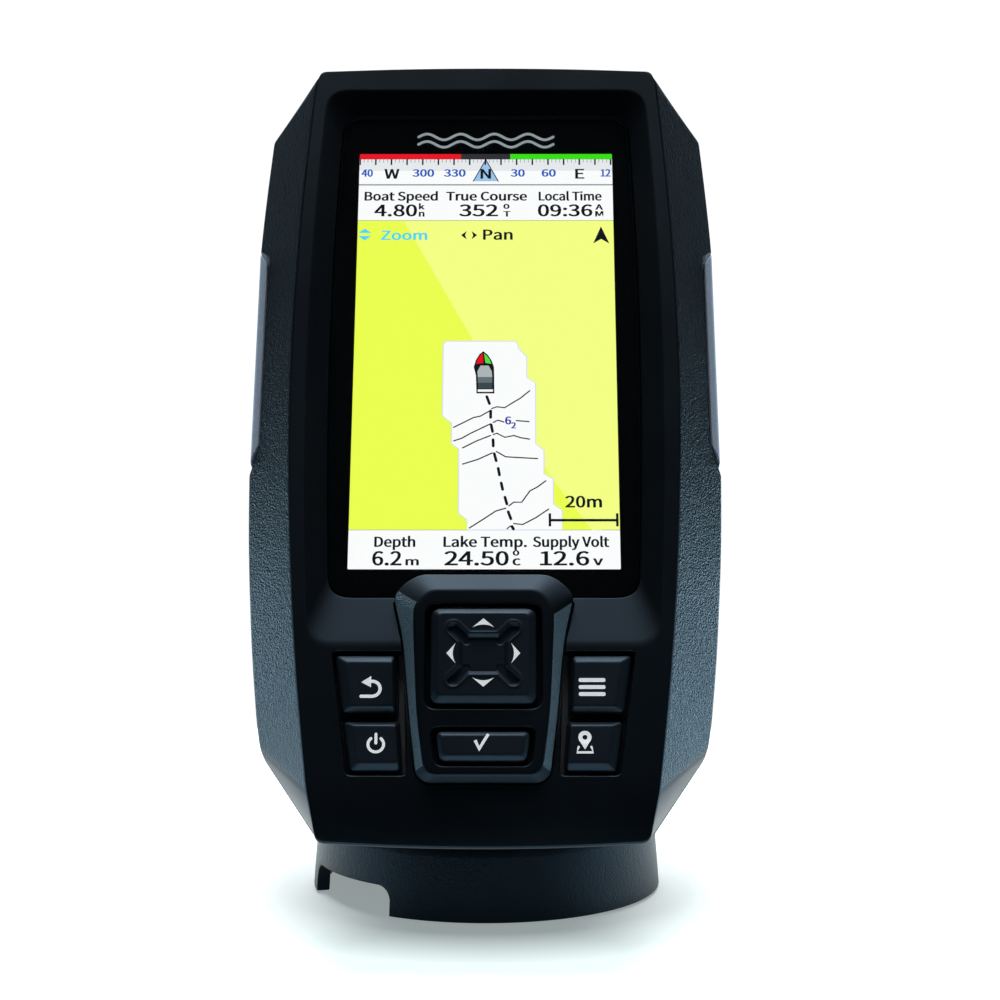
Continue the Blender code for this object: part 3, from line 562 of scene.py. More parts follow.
def pattern(tree, place, kind, scale, detail=3.0, stretch=(1, 1, 1)):
    """Noise or cell pattern on Object coordinates, stretched along the axes."""
    mapping = tree.nodes.new("ShaderNodeMapping")
    mapping.inputs["Scale"].default_value = stretch
    tree.links.new(place, mapping.inputs["Vector"])
    if kind == "noise":
        texture = tree.nodes.new("ShaderNodeTexNoise")
        texture.inputs["Detail"].default_value = detail
        output = texture.outputs["Fac"]
    else:
        texture = tree.nodes.new("ShaderNodeTexVoronoi")
        texture.feature = "SMOOTH_F1"
        texture.inputs["Smoothness"].default_value = 0.6
        output = texture.outputs["Distance"]
    texture.inputs["Scale"].default_value = scale
    tree.links.new(mapping.outputs["Vector"], texture.inputs["Vector"])
    return output


def raised(tree, shader, height, depth, under=None):
    """Bump of a given depth in metres, over another bump when there is one."""
    bump = tree.nodes.new("ShaderNodeBump")
    bump.inputs["Distance"].default_value = depth
    tree.links.new(height, bump.inputs["Height"])
    if under is not None:
        tree.links.new(under.outputs["Normal"], bump.inputs["Normal"])
    tree.links.new(bump.outputs["Normal"], shader.inputs["Normal"])
    return bump


def ranged(tree, value, span, low, high):
    """Output of a node that maps a span of values onto the span from low to high."""
    mapped = tree.nodes.new("ShaderNodeMapRange")
    numbers = {"From Min": span[0], "From Max": span[1], "To Min": low, "To Max": high}
    for socket, number in numbers.items():
        mapped.inputs[socket].default_value = number
    tree.links.new(value, mapped.inputs["Value"])
    return mapped.outputs["Result"]


def ramped(tree, value, span, low, high):
    """Output of a colour ramp that goes from one colour to another over a span of values."""
    ramp = tree.nodes.new("ShaderNodeValToRGB")
    for element, place, colour in zip(ramp.color_ramp.elements, span, (low, high)):
        element.position = place
        element.color = (*colour, 1)
    tree.links.new(value, ramp.inputs["Fac"])
    return ramp.outputs["Color"]


def mottled(tree, shader, factor, socket, low, high):
    """Feeds a shader socket from a pattern's middle span, between two values or colours."""
    between = ramped if socket == "Base Color" else ranged
    tree.links.new(between(tree, factor, PATTERN_SPAN, low, high), shader.inputs[socket])


def shade(colour, factor):
    """Colour made lighter or darker."""
    return tuple(min(1.0, part * factor) for part in colour)


def moulded_plastic(name, colour, roughness, fine_depth, cell_depth=0.0, cell_scale=1500.0, specular=0.5):
    """Moulded plastic: fine noise grain, with leather-like cells where a cell depth is given."""
    material, tree, shader, place = finish_material(name, colour, roughness, Specular_Tint=COOL_SHEEN,
                                                    Specular_IOR_Level=specular)
    fine = pattern(tree, place, "noise", FINE_GRAIN_SCALE, 2.0)
    bump = raised(tree, shader, fine, fine_depth)
    if cell_depth:
        cells = pattern(tree, place, "cells", cell_scale)
        bump = raised(tree, shader, cells, cell_depth, bump)
        swirl = pattern(tree, place, "noise", cell_scale * 0.55, 4.0, (1, 1, 0.6))
        raised(tree, shader, swirl, cell_depth * 1.2, bump)
    wear = pattern(tree, place, "noise", WEAR_SCALE, 4.0)
    mottled(tree, shader, wear, "Base Color", shade(colour, 0.85), shade(colour, 1.2))
    mottled(tree, shader, wear, "Roughness", roughness * 0.92, roughness * 1.08)
    return material


def painted(name, colour, roughness, metallic=0.35, glow=0.0):
    """Satin paint with a light fleck, and a painted glow where a glow is given."""
    material, tree, shader, place = finish_material(name, colour, roughness, metallic,
                                                    Emission_Color=(*colour, 1.0), Emission_Strength=glow)
    fleck = pattern(tree, place, "noise", 2600.0, 1.0)
    mottled(tree, shader, fleck, "Base Color", shade(colour, 0.93), shade(colour, 1.08))
    raised(tree, shader, fleck, 0.000006)
    cloud = pattern(tree, place, "noise", 60.0, 3.0)
    mottled(tree, shader, cloud, "Roughness", roughness * 0.85, roughness * 1.15)
    return material


def metal(name, colour, roughness, stretch=(1, 1, 1)):
    """Bare metal with brushed or turned scratches."""
    material, tree, shader, place = finish_material(name, colour, roughness, 1.0)
    scratch = pattern(tree, place, "noise", 1800.0, 4.0, stretch)
    mottled(tree, shader, scratch, "Roughness", roughness * 0.7, roughness * 1.4)
    raised(tree, shader, scratch, 0.000008)
    cloud = pattern(tree, place, "noise", 90.0, 3.0)
    mottled(tree, shader, cloud, "Base Color", shade(colour, 0.88), shade(colour, 1.06))
    return material


def printed_ink(name, colour, strength):
    """Glowing picture ink, dimmed a little by the grid of picture cells."""
    material, tree, shader, place = finish_material(name, (0, 0, 0), 0.6)
    shader.inputs["Emission Strength"].default_value = strength
    shader.inputs["Specular IOR Level"].default_value = 0.0
    cells = tree.nodes.new("ShaderNodeTexWave")
    cells.wave_type = "BANDS"
    cells.bands_direction = "X"
    cells.inputs["Scale"].default_value = CELL_GRID_SCALE
    tree.links.new(place, cells.inputs["Vector"])
    light = ramped(tree, cells.outputs["Fac"], (0, 1), shade(colour, 0.985), colour)
    tree.links.new(light, shader.inputs["Emission Color"])
    return material


def clear_glass(name):
    """Clear glass with a faint smear in its gloss."""
    material, tree, shader, place = finish_material(name, (0.97, 0.985, 0.98), 0.0, IOR=1.47)
    shader.inputs["Transmission Weight"].default_value = 1.0
    smear = pattern(tree, place, "noise", 25.0, 3.0, (1, 1, 0.4))
    mottled(tree, shader, smear, "Roughness", 0.0, 0.02)
    return material


def circuit_board(name):
    """Green board with darker copper runs under its lacquer."""
    material, tree, shader, place = finish_material(name, (0.010, 0.085, 0.032), 0.38)
    runs = tree.nodes.new("ShaderNodeTexBrick")
    settings = {"Scale": 170.0, "Mortar Size": 0.012, "Color1": (0.009, 0.080, 0.030, 1),
                "Color2": (0.013, 0.105, 0.040, 1), "Mortar": (0.16, 0.20, 0.07, 1)}
    for socket, value in settings.items():
        runs.inputs[socket].default_value = value
    turned = tree.nodes.new("ShaderNodeMapping")
    turned.inputs["Rotation"].default_value = (math.pi / 2 + LEAN, 0, 0)
    tree.links.new(place, turned.inputs["Vector"])
    tree.links.new(turned.outputs["Vector"], runs.inputs["Vector"])
    tree.links.new(runs.outputs["Color"], shader.inputs["Base Color"])
    raised(tree, shader, runs.outputs["Fac"], 0.00002)
    return material


def rubber(name, colour=(0.0035, 0.0045, 0.0055)):
    """Matt rubber with a powdery grain."""
    material, tree, shader, place = finish_material(name, colour, 0.78, Specular_IOR_Level=0.15)
    grain = pattern(tree, place, "noise", 3000.0, 3.0)
    raised(tree, shader, grain, 0.00003)
    cloud = pattern(tree, place, "noise", 110.0, 3.0)
    mottled(tree, shader, cloud, "Base Color", shade(colour, 0.8), shade(colour, 1.3))
    return material


# ---- front of the case ----------------------------------------------------------------------------
def face_depth(outline):
    """Depth of the front face: zero down to the chin line, then curving back with the 1.7th power."""
    below = np.clip((CHIN_LINE - outline[:, 1]) / CHIN_REACH, 0, None)
    return CHIN_DROP * below ** 1.7


def front_rings(crease_radius, recess_radius):
    """Rings round the front shell's section, from the cavity over the rim and face into the screen hole."""
    crease, widest = case_loop(CREASE, CREASE_RADII), case_loop(WIDEST, WIDEST_RADII)
    inner, front_cavity = resized(0.87, 108.5, -46.5), resized(0.79, 106.5, -47.0)
    recess, seat, hole = matched(*RECESS), matched(*SEAT), matched(*PICTURE_HOLE)
    crease_ring, recess_ring = at_depth(crease, face_depth(crease)), at_depth(recess, 0.0)
    shoulder = at_depth(widest, 15.8)
    side = blended(shoulder, crease_ring, 3)
    face = [at_depth(ring[:, (0, 2)], face_depth(ring[:, (0, 2)]))
            for ring in blended(crease_ring, recess_ring, 8)]
    rings = [at_depth(inner, PART_LINE), at_depth(widest, PART_LINE), shoulder, *side, crease_ring, *face,
             recess_ring, *blended(recess_ring, at_depth(seat, GLASS_FRONT), 2), at_depth(seat, GLASS_FRONT),
             at_depth(seat, LEDGE), at_depth(hole, LEDGE), at_depth(hole, CAVITY_FRONT),
             at_depth(front_cavity, CAVITY_FRONT)]
    radii = [0, 0.25, 0.6, 0, 0, 0, crease_radius, *[0] * len(face), recess_radius, 0, 0, 0.25, 0.2, 0.2,
             0.2, 0]
    return filleted(rings, radii, 4, cyclic=True)


class FINDER_OT_front_shell(bpy.types.Operator):
    """Front shell: flared grained sides, creased face, chin, screen recess and key openings"""

    bl_idname = "finder.front_shell"
    bl_label = "Front shell"

    def execute(self, context):
        case = context.scene.finder_case
        rings = front_rings(case.crease_radius / MM, case.recess_radius / MM)
        shell = mesh_object("front_shell", *skin(rings, cyclic=True))
        # The grain runs from the middle of the shoulder's rounding to the start of the crease's, and
        # between the corners of each side.
        ring = np.arange(8, 15)
        column = np.concatenate([columns(3, 12), columns(18, 27)])
        second_material(shell, (ring[:, None] * len(rings[0]) + column[None, :]).ravel())
        satin = moulded_plastic("front_satin", case.front_colour, 0.42, 0.000008, specular=0.38)
        leather = moulded_plastic("side_leather", case.side_colour, 0.36, 0.000010, case.leather_depth,
                                  2500.0)
        shell.data.materials.append(satin)
        shell.data.materials.append(leather)
        lip = case.opening_radius / MM
        inside = CAVITY_FRONT + 2
        carved(shell, [
            *(flared_cutter(np.asarray(KEY_OPENING) * (side, 1), 1.0, BEFORE_CASE, 0.0, 3.4, lip)
              for side in (1, -1)),
            plate_cutter(loop(mirrored_half(SURROUND_HOLE), 1.0), BEFORE_CASE, inside),
            plate_cutter(loop(rectangle(*KEY_POCKET), 0.5, 2, 2), KEY_POCKET_FRONT, inside),
            *notch_cutters(BEFORE_CASE, PART_LINE + 2),
        ])
        smoothed(shell, 24)
        placed(shell, "unit", [], ("front_housing",))
        return {"FINISHED"}


class FINDER_OT_keypad_surround(bpy.types.Operator):
    """Raised surround of the four-way pad and the enter key"""

    bl_idname = "finder.keypad_surround"
    bl_label = "Keypad surround"

    def execute(self, context):
        case = context.scene.finder_case
        base = loop(mirrored_half(SURROUND_BASE), mirrored_radii(SURROUND_BASE, BASE_RADII), 8)
        face = loop(mirrored_half(SURROUND_FACE), mirrored_radii(SURROUND_FACE, FACE_RADII), 8)
        flank = [at_depth(base, 0.0), at_depth(face, SURROUND_FRONT)]
        rings = filleted([at_depth(base, SURROUND_BACK), flank[0], *blended(*flank, 2), flank[1],
                          at_depth(face * 0.93 + (0, -1.6), SURROUND_FRONT)],
                         [0, 0.3, 0, 0, 0.45, 0], 5)
        surround = mesh_object("keypad_frame", *skin(rings))
        # The flanks' grain leaves out the bevels over the top and under the bottom.
        ring, arc_end, corner = np.arange(6, 9), 6, 14
        column = np.concatenate([np.arange(2 * corner + arc_end, 6 * corner),
                                 np.arange(10 * corner, 13 * corner + arc_end)])
        second_material(surround, (ring[:, None] * len(rings[0]) + column[None, :]).ravel())
        # The flanks get a far lighter copy of the case plastic: painted light standing in for the side light
        # they catch; their grain is their own.
        flank_painted_light = moulded_plastic("flank_grain_painted_light", case.flank_colour_painted_light, 0.34, 0.00004, 0.00016, 3000.0)
        surround.data.materials.append(bpy.data.materials["front_satin"])
        surround.data.materials.append(flank_painted_light)
        gap, lip, before, wall = 0.95, 0.45, BEFORE_CASE - 1, 1.6
        half_x, half_z = PAD_HALF_X + gap, PAD_HALF_Z + gap
        pad = rectangle(-half_x, half_x, PAD_CENTRE - half_z, PAD_CENTRE + half_z)[::-1]
        carved(surround, [
            plate_cutter(loop(offset(mirrored_half(SURROUND_BASE), -wall), 1.0), 0.2, 4),
            flared_cutter(pad, 2.2, before, SURROUND_FRONT, 1.0, lip),
            flared_cutter(offset(ENTER_KEY, 0.85), 1.6, before, SURROUND_FRONT, 1.0, lip),
        ])
        smoothed(surround)
        placed(surround, "unit", [], ("keypad_surround",))
        return {"FINISHED"}


# ---- keys -----------------------------------------------------------------------------------------
def key_rings(outline, face, flange, depths, corner, bevel):
    """Rings of a key cap from its flat face over the bevel down to the retaining flange."""
    front, shoulder, neck, back = depths
    cap, top, edge = loop(outline, corner), loop(face, corner * 0.6), loop(flange, 1.2)
    rings = [at_depth(top, front), at_depth(cap, shoulder), at_depth(cap, neck), at_depth(edge, neck),
             at_depth(edge, back)]
    start = at_depth(loop(offset(face, -bevel * 1.4), corner * 0.4), front)
    return filleted([start, *rings], [0, bevel, bevel, 0.2, 0.2, 0.15], 4)


def key_plastic():
    """The key caps' material, made once."""
    found = bpy.data.materials.get("key_satin")
    if found:
        return found
    return moulded_plastic("key_satin", bpy.context.scene.finder_keys.key_colour, 0.44, 0.000006)


class FINDER_OT_keys(bpy.types.Operator):
    """Four side keys and the enter key"""

    bl_idname = "finder.keys"
    bl_label = "Keys"

    def execute(self, context):
        bevel = context.scene.finder_keys.bevel_radius / MM
        upper, lower = (BACK_KEY, BACK_FACE, BACK_FLANGE), (POWER_KEY, POWER_FACE, POWER_FLANGE)
        enter = (ENTER_KEY, offset(ENTER_KEY, -0.95), offset(ENTER_KEY, 1.4))
        shapes = (("back", upper, 1, SIDE_KEY_DEPTHS, 1.0), ("power", lower, 1, SIDE_KEY_DEPTHS, 1.0),
                  ("menu", upper, -1, SIDE_KEY_DEPTHS, 1.0), ("mark", lower, -1, SIDE_KEY_DEPTHS, 1.0),
                  ("enter", enter, 1, ENTER_KEY_DEPTHS, 1.4))
        for name, outlines, side, depths, corner in shapes:
            rings = key_rings(*(np.asarray(outline) * (side, 1) for outline in outlines), depths, corner,
                              bevel)
            finished("cap_" + name, rings, name + "_key", key_plastic(), "key_" + name)
        return {"FINISHED"}


def rounded_box_distance(x, z, half_x, half_z, radius):
    """Signed distance to a rounded rectangle: how far outside the inner rectangle, less the radius."""
    over_x, over_z = np.abs(x) - half_x + radius, np.abs(z) - half_z + radius
    outside = np.hypot(np.maximum(over_x, 0), np.maximum(over_z, 0))
    return outside + np.minimum(np.maximum(over_x, over_z), 0) - radius


def capsule_distance(x, z, start, end, radius):
    """Signed distance to a round-ended bar: distance to its nearest axis point, less the radius."""
    along = np.array((end[0] - start[0], end[1] - start[1]))
    share = np.clip(((x - start[0]) * along[0] + (z - start[1]) * along[1]) / (along @ along), 0, 1)
    return np.hypot(x - start[0] - share * along[0], z - start[1] - share * along[1]) - radius


def pad_hollow(x, z):
    """How deep the pad's face is sunk: a shallow square dish with a groove out of each corner.

    Each hollow falls by a smooth step across its edge. The groove is deepest in its middle and a
    low raised lip runs round both.
    """
    dish = rounded_box_distance(x, z, 4.35, 3.75, 1.3)
    bars = [capsule_distance(x, z, (3.2 * sx, 2.7 * sz), (5.75 * sx, 5.2 * sz), 0.95)
            for sx in (-1, 1) for sz in (-1, 1)]
    groove = np.minimum.reduce(bars)

    def step(distance, width):
        share = np.clip(0.5 - distance / width, 0, 1)
        return share * share * (3 - 2 * share)

    sunk = np.maximum(0.62 * step(dish, 0.8), 0.75 * step(groove, 0.7))
    both = np.minimum(dish, groove)
    return sunk - 0.10 * np.exp(-((both - 0.55) / 0.28) ** 2)


class FINDER_OT_four_way_pad(bpy.types.Operator):
    """Four-way pad with its sunk centre and corner grooves"""

    bl_idname = "finder.four_way_pad"
    bl_label = "Four-way pad"

    def execute(self, context):
        square = np.array(((-PAD_HALF_X, PAD_HALF_Z), (PAD_HALF_X, PAD_HALF_Z), (PAD_HALF_X, -PAD_HALF_Z),
                           (-PAD_HALF_X, -PAD_HALF_Z)))
        centre = (0, PAD_CENTRE)
        face, cap, edge = (np.roll(loop(outline, radius, 40, 10), 20, 0) for outline, radius in
                           ((offset(square, -1.35), 1.2), (square, 2.0), (offset(square, 1.5), 2.4)))
        reach = np.concatenate([np.linspace(0.004, 0.9, 84), np.linspace(0.91, 1.0, 5)])
        rings = [at_depth(face * share + centre, PAD_FRONT + pad_hollow(*(face * share).T))
                 for share in reach]
        outside = [rings[-1], *(at_depth(outline + centre, depth) for outline, depth in
                                ((cap, -1.9), (cap, 1.6), (edge, 1.6), (edge, 2.2)))]
        bevel = context.scene.finder_keys.bevel_radius / MM
        rings = rings[:-1] + filleted([rings[-3], *outside], [0, 0.25, bevel, 0.2, 0.2, 0.15], 4)[1:]
        finished("four_way_cap", rings, "pad", key_plastic(), "dpad")
        return {"FINISHED"}


def stroke(points, width, ends=8):
    """Outline of a pen stroke: the path moved to each side by half the width, with round ends."""
    points = np.asarray(points, float)
    along = np.gradient(points, axis=0)
    along /= np.linalg.norm(along, axis=1, keepdims=True)
    normal = np.stack([-along[:, 1], along[:, 0]], axis=1)
    left, right = points + normal * width / 2, points - normal * width / 2
    turn = np.linspace(0, math.pi, ends + 2)[1:-1]

    def cap(centre, side, forward):
        return centre + (np.cos(turn)[:, None] * side + np.sin(turn)[:, None] * forward) * width / 2

    return np.concatenate([left, cap(points[-1], normal[-1], along[-1]), right[::-1],
                           cap(points[0], -normal[0], -along[0])])


def arc(centre, radius, start, end, steps=24):
    """Points on an arc between two angles in degrees."""
    return np.asarray(centre, float) + radius * spokes(np.radians(np.linspace(start, end, steps)))


def moon(tip, corner_one, corner_two, sink, steps=8):
    """Arrow with a hollow base: a triangle whose base bends towards its tip by a parabola."""
    one, two, tip = (np.asarray(place, float) for place in (corner_one, corner_two, tip))
    t = np.linspace(0, 1, steps + 1)[:, None]
    middle = (one + two) / 2
    inward = (tip - middle) / np.linalg.norm(tip - middle)
    base = (1 - t) * one + t * two + inward * sink * 4 * t * (1 - t)
    return np.concatenate([[tip], base])


def ring_plate(centre, inner, outer, front, back, steps=40):
    """Flat ring between two radii."""
    rings = [at_depth(circle(centre, radius, steps), depth)
             for radius, depth in ((inner, back), (inner, front), (outer, front), (outer, back))]
    return skin(rings, cyclic=True)


class FINDER_OT_symbols(bpy.types.Operator):
    """White symbols on the keys and the pad"""

    bl_idname = "finder.symbols"
    bl_label = "Key symbols"

    def execute(self, context):
        keys = context.scene.finder_keys
        high, sunk, pen = keys.print_height / MM, 0.1, 0.55
        # The symbols glow a little: a painted glow that keeps the white print bright.
        ink = painted("symbol_paint_painted_glow", keys.print_colour, 0.45, 0.0, 0.38)
        bend = np.concatenate([[(-23.3, -27.25), (-22.0, -27.25)], arc((-21.2, -25.75), 1.5, -88, 95, 20)])
        back = [stroke(bend, 0.62), ((-23.3, -24.45), (-21.45, -23.2), (-21.45, -25.45))]
        power = [stroke(arc((-20.27, -36.75), 1.48, 130, 410, 40), pen),
                 stroke(((-20.27, -34.75), (-20.27, -35.6), (-20.27, -36.5)), pen)]
        bars = [loop(rectangle(18.2, 23.3, up - 0.38, up + 0.38)[::-1], 0.36, 2, 4)
                for up in (-24.0, -25.4, -26.8)]
        across = 19.25
        pin_head = ring_plate((across, -35.35), 0.48, 1.25, KEY_FRONT - high, KEY_FRONT + sunk)
        pin = [((across - 1.08, -35.92), (across, -37.75), (across + 1.08, -35.92)),
               stroke(((18.05, -37.25), (17.72, -38.3), (20.78, -38.3), (20.45, -37.25)), 0.46)]
        check = ((-1.75, -36.75), (-1.2, -36.45), (-0.72, -37.75), (0.75, -35.25), (1.25, -35.5),
                 (-0.7, -38.75))
        hollow = 0.55
        arrows = [moon(*corners, hollow) for corners in (
            ((0, -12.35), (2.05, -14.15), (-2.05, -14.15)), ((0, -26.1), (-2.05, -24.3), (2.05, -24.3)),
            ((-7.05, -19.4), (-5.3, -17.35), (-5.3, -21.45)), ((7.05, -19.4), (5.3, -21.45), (5.3, -17.35)))]
        marks = {
            "back": ("back_key", KEY_FRONT, back),
            "power": ("power_key", KEY_FRONT, power),
            "menu": ("menu_key", KEY_FRONT, bars),
            "mark": ("mark_key", KEY_FRONT, pin),
            "enter": ("enter_key", ENTER_FRONT, [check]),
            "pad": ("pad", PAD_FRONT, arrows),
        }
        for name, (body, face, outlines) in marks.items():
            shapes = [prism(outline, face - high, face + sunk) for outline in outlines]
            if name == "mark":
                shapes.append(pin_head)
            symbol = mesh_object("symbol_" + name, *joined(shapes))
            placed(symbol, body, [ink])
        return {"FINISHED"}


# ---- window and picture ---------------------------------------------------------------------------
class FINDER_OT_window(bpy.types.Operator):
    """Clear window, the black border printed behind it, and a plain wave mark"""

    bl_idname = "finder.window"
    bl_label = "Window"

    def execute(self, context):
        outline, small = matched(*WINDOW), matched(103.5, -5.75, 31.5, 1.45, 4.0)
        rings = filleted([at_depth(small * 0.995 + (0, 0.2), GLASS_FRONT), at_depth(small, GLASS_FRONT),
                          at_depth(outline, GLASS_FRONT + 0.25), at_depth(outline, GLASS_BACK)],
                         [0, 0.15, 0.15, 0])
        glass = smoothed(mesh_object("window", *skin(rings)), 50)
        second_material(glass, slice(len(outline), (len(rings) - 1) * len(outline)))
        black = moulded_plastic("border_black", (0.0005, 0.0006, 0.0006), 0.6, 0.000002, specular=0.1)
        clear = clear_glass("window_glass")
        placed(glass, "unit", [clear, black], ("display_window",))
        edge, hole = matched(103.6, -5.85, 31.6, 1.45, 4.1), matched(*PICTURE)
        front, back = GLASS_BACK + 0.03, GLASS_BACK + 0.08
        rings = [at_depth(hole, back), at_depth(hole, front), at_depth(edge, front), at_depth(edge, back)]
        border = mesh_object("window_border", *skin(rings, cyclic=True))
        placed(border, "unit", [black])
        half_width, swell_height = 14.4, 0.72
        across = np.linspace(-half_width, half_width, 160)
        swell = swell_height * np.sin(across / half_width * 4 * math.pi)
        lines = [stroke(np.stack([across, up + swell], axis=1), 0.62) for up in (99.35, 97.5)]
        front, back = GLASS_BACK + 0.005, GLASS_BACK + 0.02
        wave = mesh_object("wave_mark", *joined([prism(line, front, back) for line in lines]))
        # The wave mark glows a little: a painted glow, as nothing lights it from behind.
        placed(wave, "unit", [painted("mark_silver_painted_glow", (0.68, 0.78, 0.82), 0.4, 0.0, 0.32)])
        return {"FINISHED"}


def picture_up(up):
    """Height of a picture detail on the panel, a little behind the window."""
    return np.asarray(up, float) * 1.0013 + 0.07


def on_picture(outline):
    """Outline moved onto the picture panel."""
    outline = np.array(outline, float)
    outline[:, 1] = picture_up(outline[:, 1])
    return outline


def plain_type():
    """Plain sans-serif type that comes with the program."""
    folder = bpy.utils.system_resource("DATAFILES", path="fonts")
    return bpy.data.fonts.load(folder + "/Noto Sans CJK Regular.woff2", check_existing=True)


LETTER_SPREAD, LETTER_THICKNESS, LETTER_FLATTENING = 0.004, 0.02, 0.25


def letter_shape(words):
    """Points and faces of a line of raised letters, in the type's own size."""
    curve = bpy.data.curves.new("letters", "FONT")
    curve.body = words
    curve.font = plain_type()
    curve.offset = LETTER_SPREAD
    curve.extrude = LETTER_THICKNESS
    curve.resolution_u = 3
    holder = bpy.data.objects.new("letters", curve)
    bpy.context.scene.collection.objects.link(holder)
    settled = holder.evaluated_get(bpy.context.evaluated_depsgraph_get())
    mesh = bpy.data.meshes.new_from_object(settled)
    points = np.empty(len(mesh.vertices) * 3)
    mesh.vertices.foreach_get("co", points)
    faces = [list(face.vertices) for face in mesh.polygons]
    bpy.data.objects.remove(holder, do_unlink=True)
    bpy.data.curves.remove(curve)
    bpy.data.meshes.remove(mesh)
    return points.reshape(-1, 3), faces


def lettering(words, across, base, height, width, level, bolder=0.07):
    """Flat solid letters, scaled so that capitals have a height and the whole line has a width.

    Two copies, a little to the left and right of each other, make the strokes bolder.
    """
    capital = letter_shape("H")[0][:, 1].max()
    place, faces = letter_shape(words)
    low, high = place[:, 0].min(), place[:, 0].max()
    x = (place[:, 0] - (low + high) / 2) / (high - low) * width + across
    y = level - place[:, 2] * LETTER_FLATTENING
    z = picture_up(base + place[:, 1] / capital * height)
    place = np.stack([x, y, z], axis=1)
    return joined([(place - (bolder, 0, 0), faces), (place + (bolder, 0.002, 0), faces)])


# Depths of the picture's layers, from the back to the front, and their thickness.
SHEET, SHEEN, SHORE, WATER, NEEDLE_EDGE, TICK = 3.74, 3.715, 3.7025, 3.69, 3.678, 3.67
HULL, INK, TOP = 3.667, 3.665, 3.64
THIN = 0.012
PICTURE_HALF, BAR_LOW, BAR_HIGH = 26.93, 93.7, 95.04
TICK_START, TICK_STEP = -0.1, 3.34

SURVEYED = ((-8.49, 49.6), (-8.05, 50.2), (6.1, 50.2), (6.65, 49.6), (6.8, 48.6), (8.47, 46.7),
            (8.45, 42.05), (10.25, 40.8), (10.2, 27.25), (11.9, 25.65), (11.85, 20.55), (13.7, 19.4),
            (13.7, 13.95), (15.45, 12.6), (15.45, 8.55), (-3.36, 8.55), (-3.37, 10.7), (-5.05, 12.05),
            (-5.1, 26.05), (-6.6, 27.25), (-6.6, 31.8), (-8.49, 33.4))
# The sheen line bounds a painted sheen, a glare drawn into the chart.
PAINTED_SHEEN_LINE = ((-17.2, 78.6), (-3.1, 51.7), (13.4, 19.8), (21.4, 8.4), (26.93, 8.6), (26.93, 78.6))
TRACK = (((0.4, 37.7), (0.95, 36.1)), ((1.2, 34.5), (1.2, 33.0)), ((1.3, 31.4), (1.6, 29.85)),
         ((1.7, 28.1), (1.75, 26.65)), ((1.95, 25.0), (2.35, 23.4)), ((2.75, 21.8), (3.0, 20.3)),
         ((3.35, 18.6), (3.65, 17.15)), ((4.1, 15.5), (4.5, 14.0)), ((4.75, 12.35), (5.3, 10.8)),
         ((5.5, 9.2), (5.8, 8.6)))
CONTOURS = (
    ((-6.3, 30.8), (-2.25, 33.0), (-0.9, 33.3), (1.2, 34.6)),
    ((1.4, 35.0), (2.45, 35.4), (4.05, 35.2), (5.5, 36.2), (7.2, 37.3), (9.15, 39.0)),
    ((-6.25, 27.8), (-4.6, 28.4), (-3.0, 29.4), (1.2, 31.6)),
    ((1.75, 31.9), (2.65, 32.4), (3.9, 32.0)), ((6.4, 32.3), (8.95, 32.1)),
    ((-4.45, 26.25), (-1.6, 27.8), (1.2, 29.0)),
    ((1.75, 29.2), (2.45, 29.5), (4.1, 28.6), (5.9, 29.0), (7.3, 28.5), (9.05, 28.2)),
    ((-4.4, 22.7), (-1.4, 23.7), (1.55, 25.15)),
    ((2.4, 25.45), (4.25, 24.3), (7.3, 24.1), (10.65, 23.9)),
    ((-2.95, 8.85), (-0.4, 10.6), (2.3, 12.5), (4.25, 13.1)),
    ((4.9, 13.6), (5.85, 14.4), (7.45, 14.4), (9.1, 16.85), (10.6, 17.7), (12.3, 19.05)),
    ((5.85, 9.8), (7.65, 9.6), (10.3, 11.1), (12.8, 12.9)),
    ((4.55, 8.7), (5.15, 9.25), (5.85, 8.7)),
)
# Distance scale, arrows beside the second menu word, and north arrow.
SIGNS = (rectangle(13.3, 26.2, 10.25, 10.8), rectangle(12.8, 13.3, 9.2, 12.0),
         rectangle(26.2, 26.7, 9.2, 12.0),
         ((-5.15, 75.2), (-3.95, 76.2), (-4.3, 75.2), (-3.95, 74.2)),
         ((-1.75, 75.2), (-2.95, 76.2), (-2.6, 75.2), (-2.95, 74.2)),
         ((24.3, 77.3), (26.0, 73.2), (24.3, 74.3), (22.6, 73.2)))
ZOOM_ARROWS = (((-25.4, 76.8), (-24.0, 75.75), (-26.8, 75.75)),
               ((-25.4, 73.95), (-26.8, 75.0), (-24.0, 75.0)))
# Boat from above: name, outline, colour.
BOAT_HULL = ((-0.33, 48.0), (0.55, 47.2), (1.3, 46.0), (1.85, 44.4), (1.9, 42.5), (1.95, 38.4), (-1.7, 38.4),
             (-1.85, 42.5), (-2.3, 44.4), (-1.85, 46.0), (-1.15, 47.3))
BOAT = (
    ("port", ((-0.45, 47.5), (-0.32, 45.3), (-1.85, 45.1), (-1.5, 46.1), (-1.0, 47.0)),
     (0.83, 0.006, 0.012)),
    ("starboard", ((-0.2, 47.5), (0.4, 46.9), (1.0, 46.0), (1.3, 45.1), (0.1, 45.3)), (0.10, 0.72, 0.06)),
    ("foredeck", ((-0.9, 44.7), (0.75, 44.7), (1.4, 43.4), (1.5, 42.1), (-1.45, 42.1), (-1.55, 43.4)),
     (0.42, 0.46, 0.47)),
    ("middle", rectangle(-1.45, 1.5, 40.8, 42.1), (0.13, 0.16, 0.17)),
    ("deck", rectangle(-1.4, 1.5, 39.5, 40.8), (0.045, 0.065, 0.08)),
    ("stern", rectangle(-1.45, 1.65, 38.75, 39.3), (0.9, 0.92, 0.93)),
)
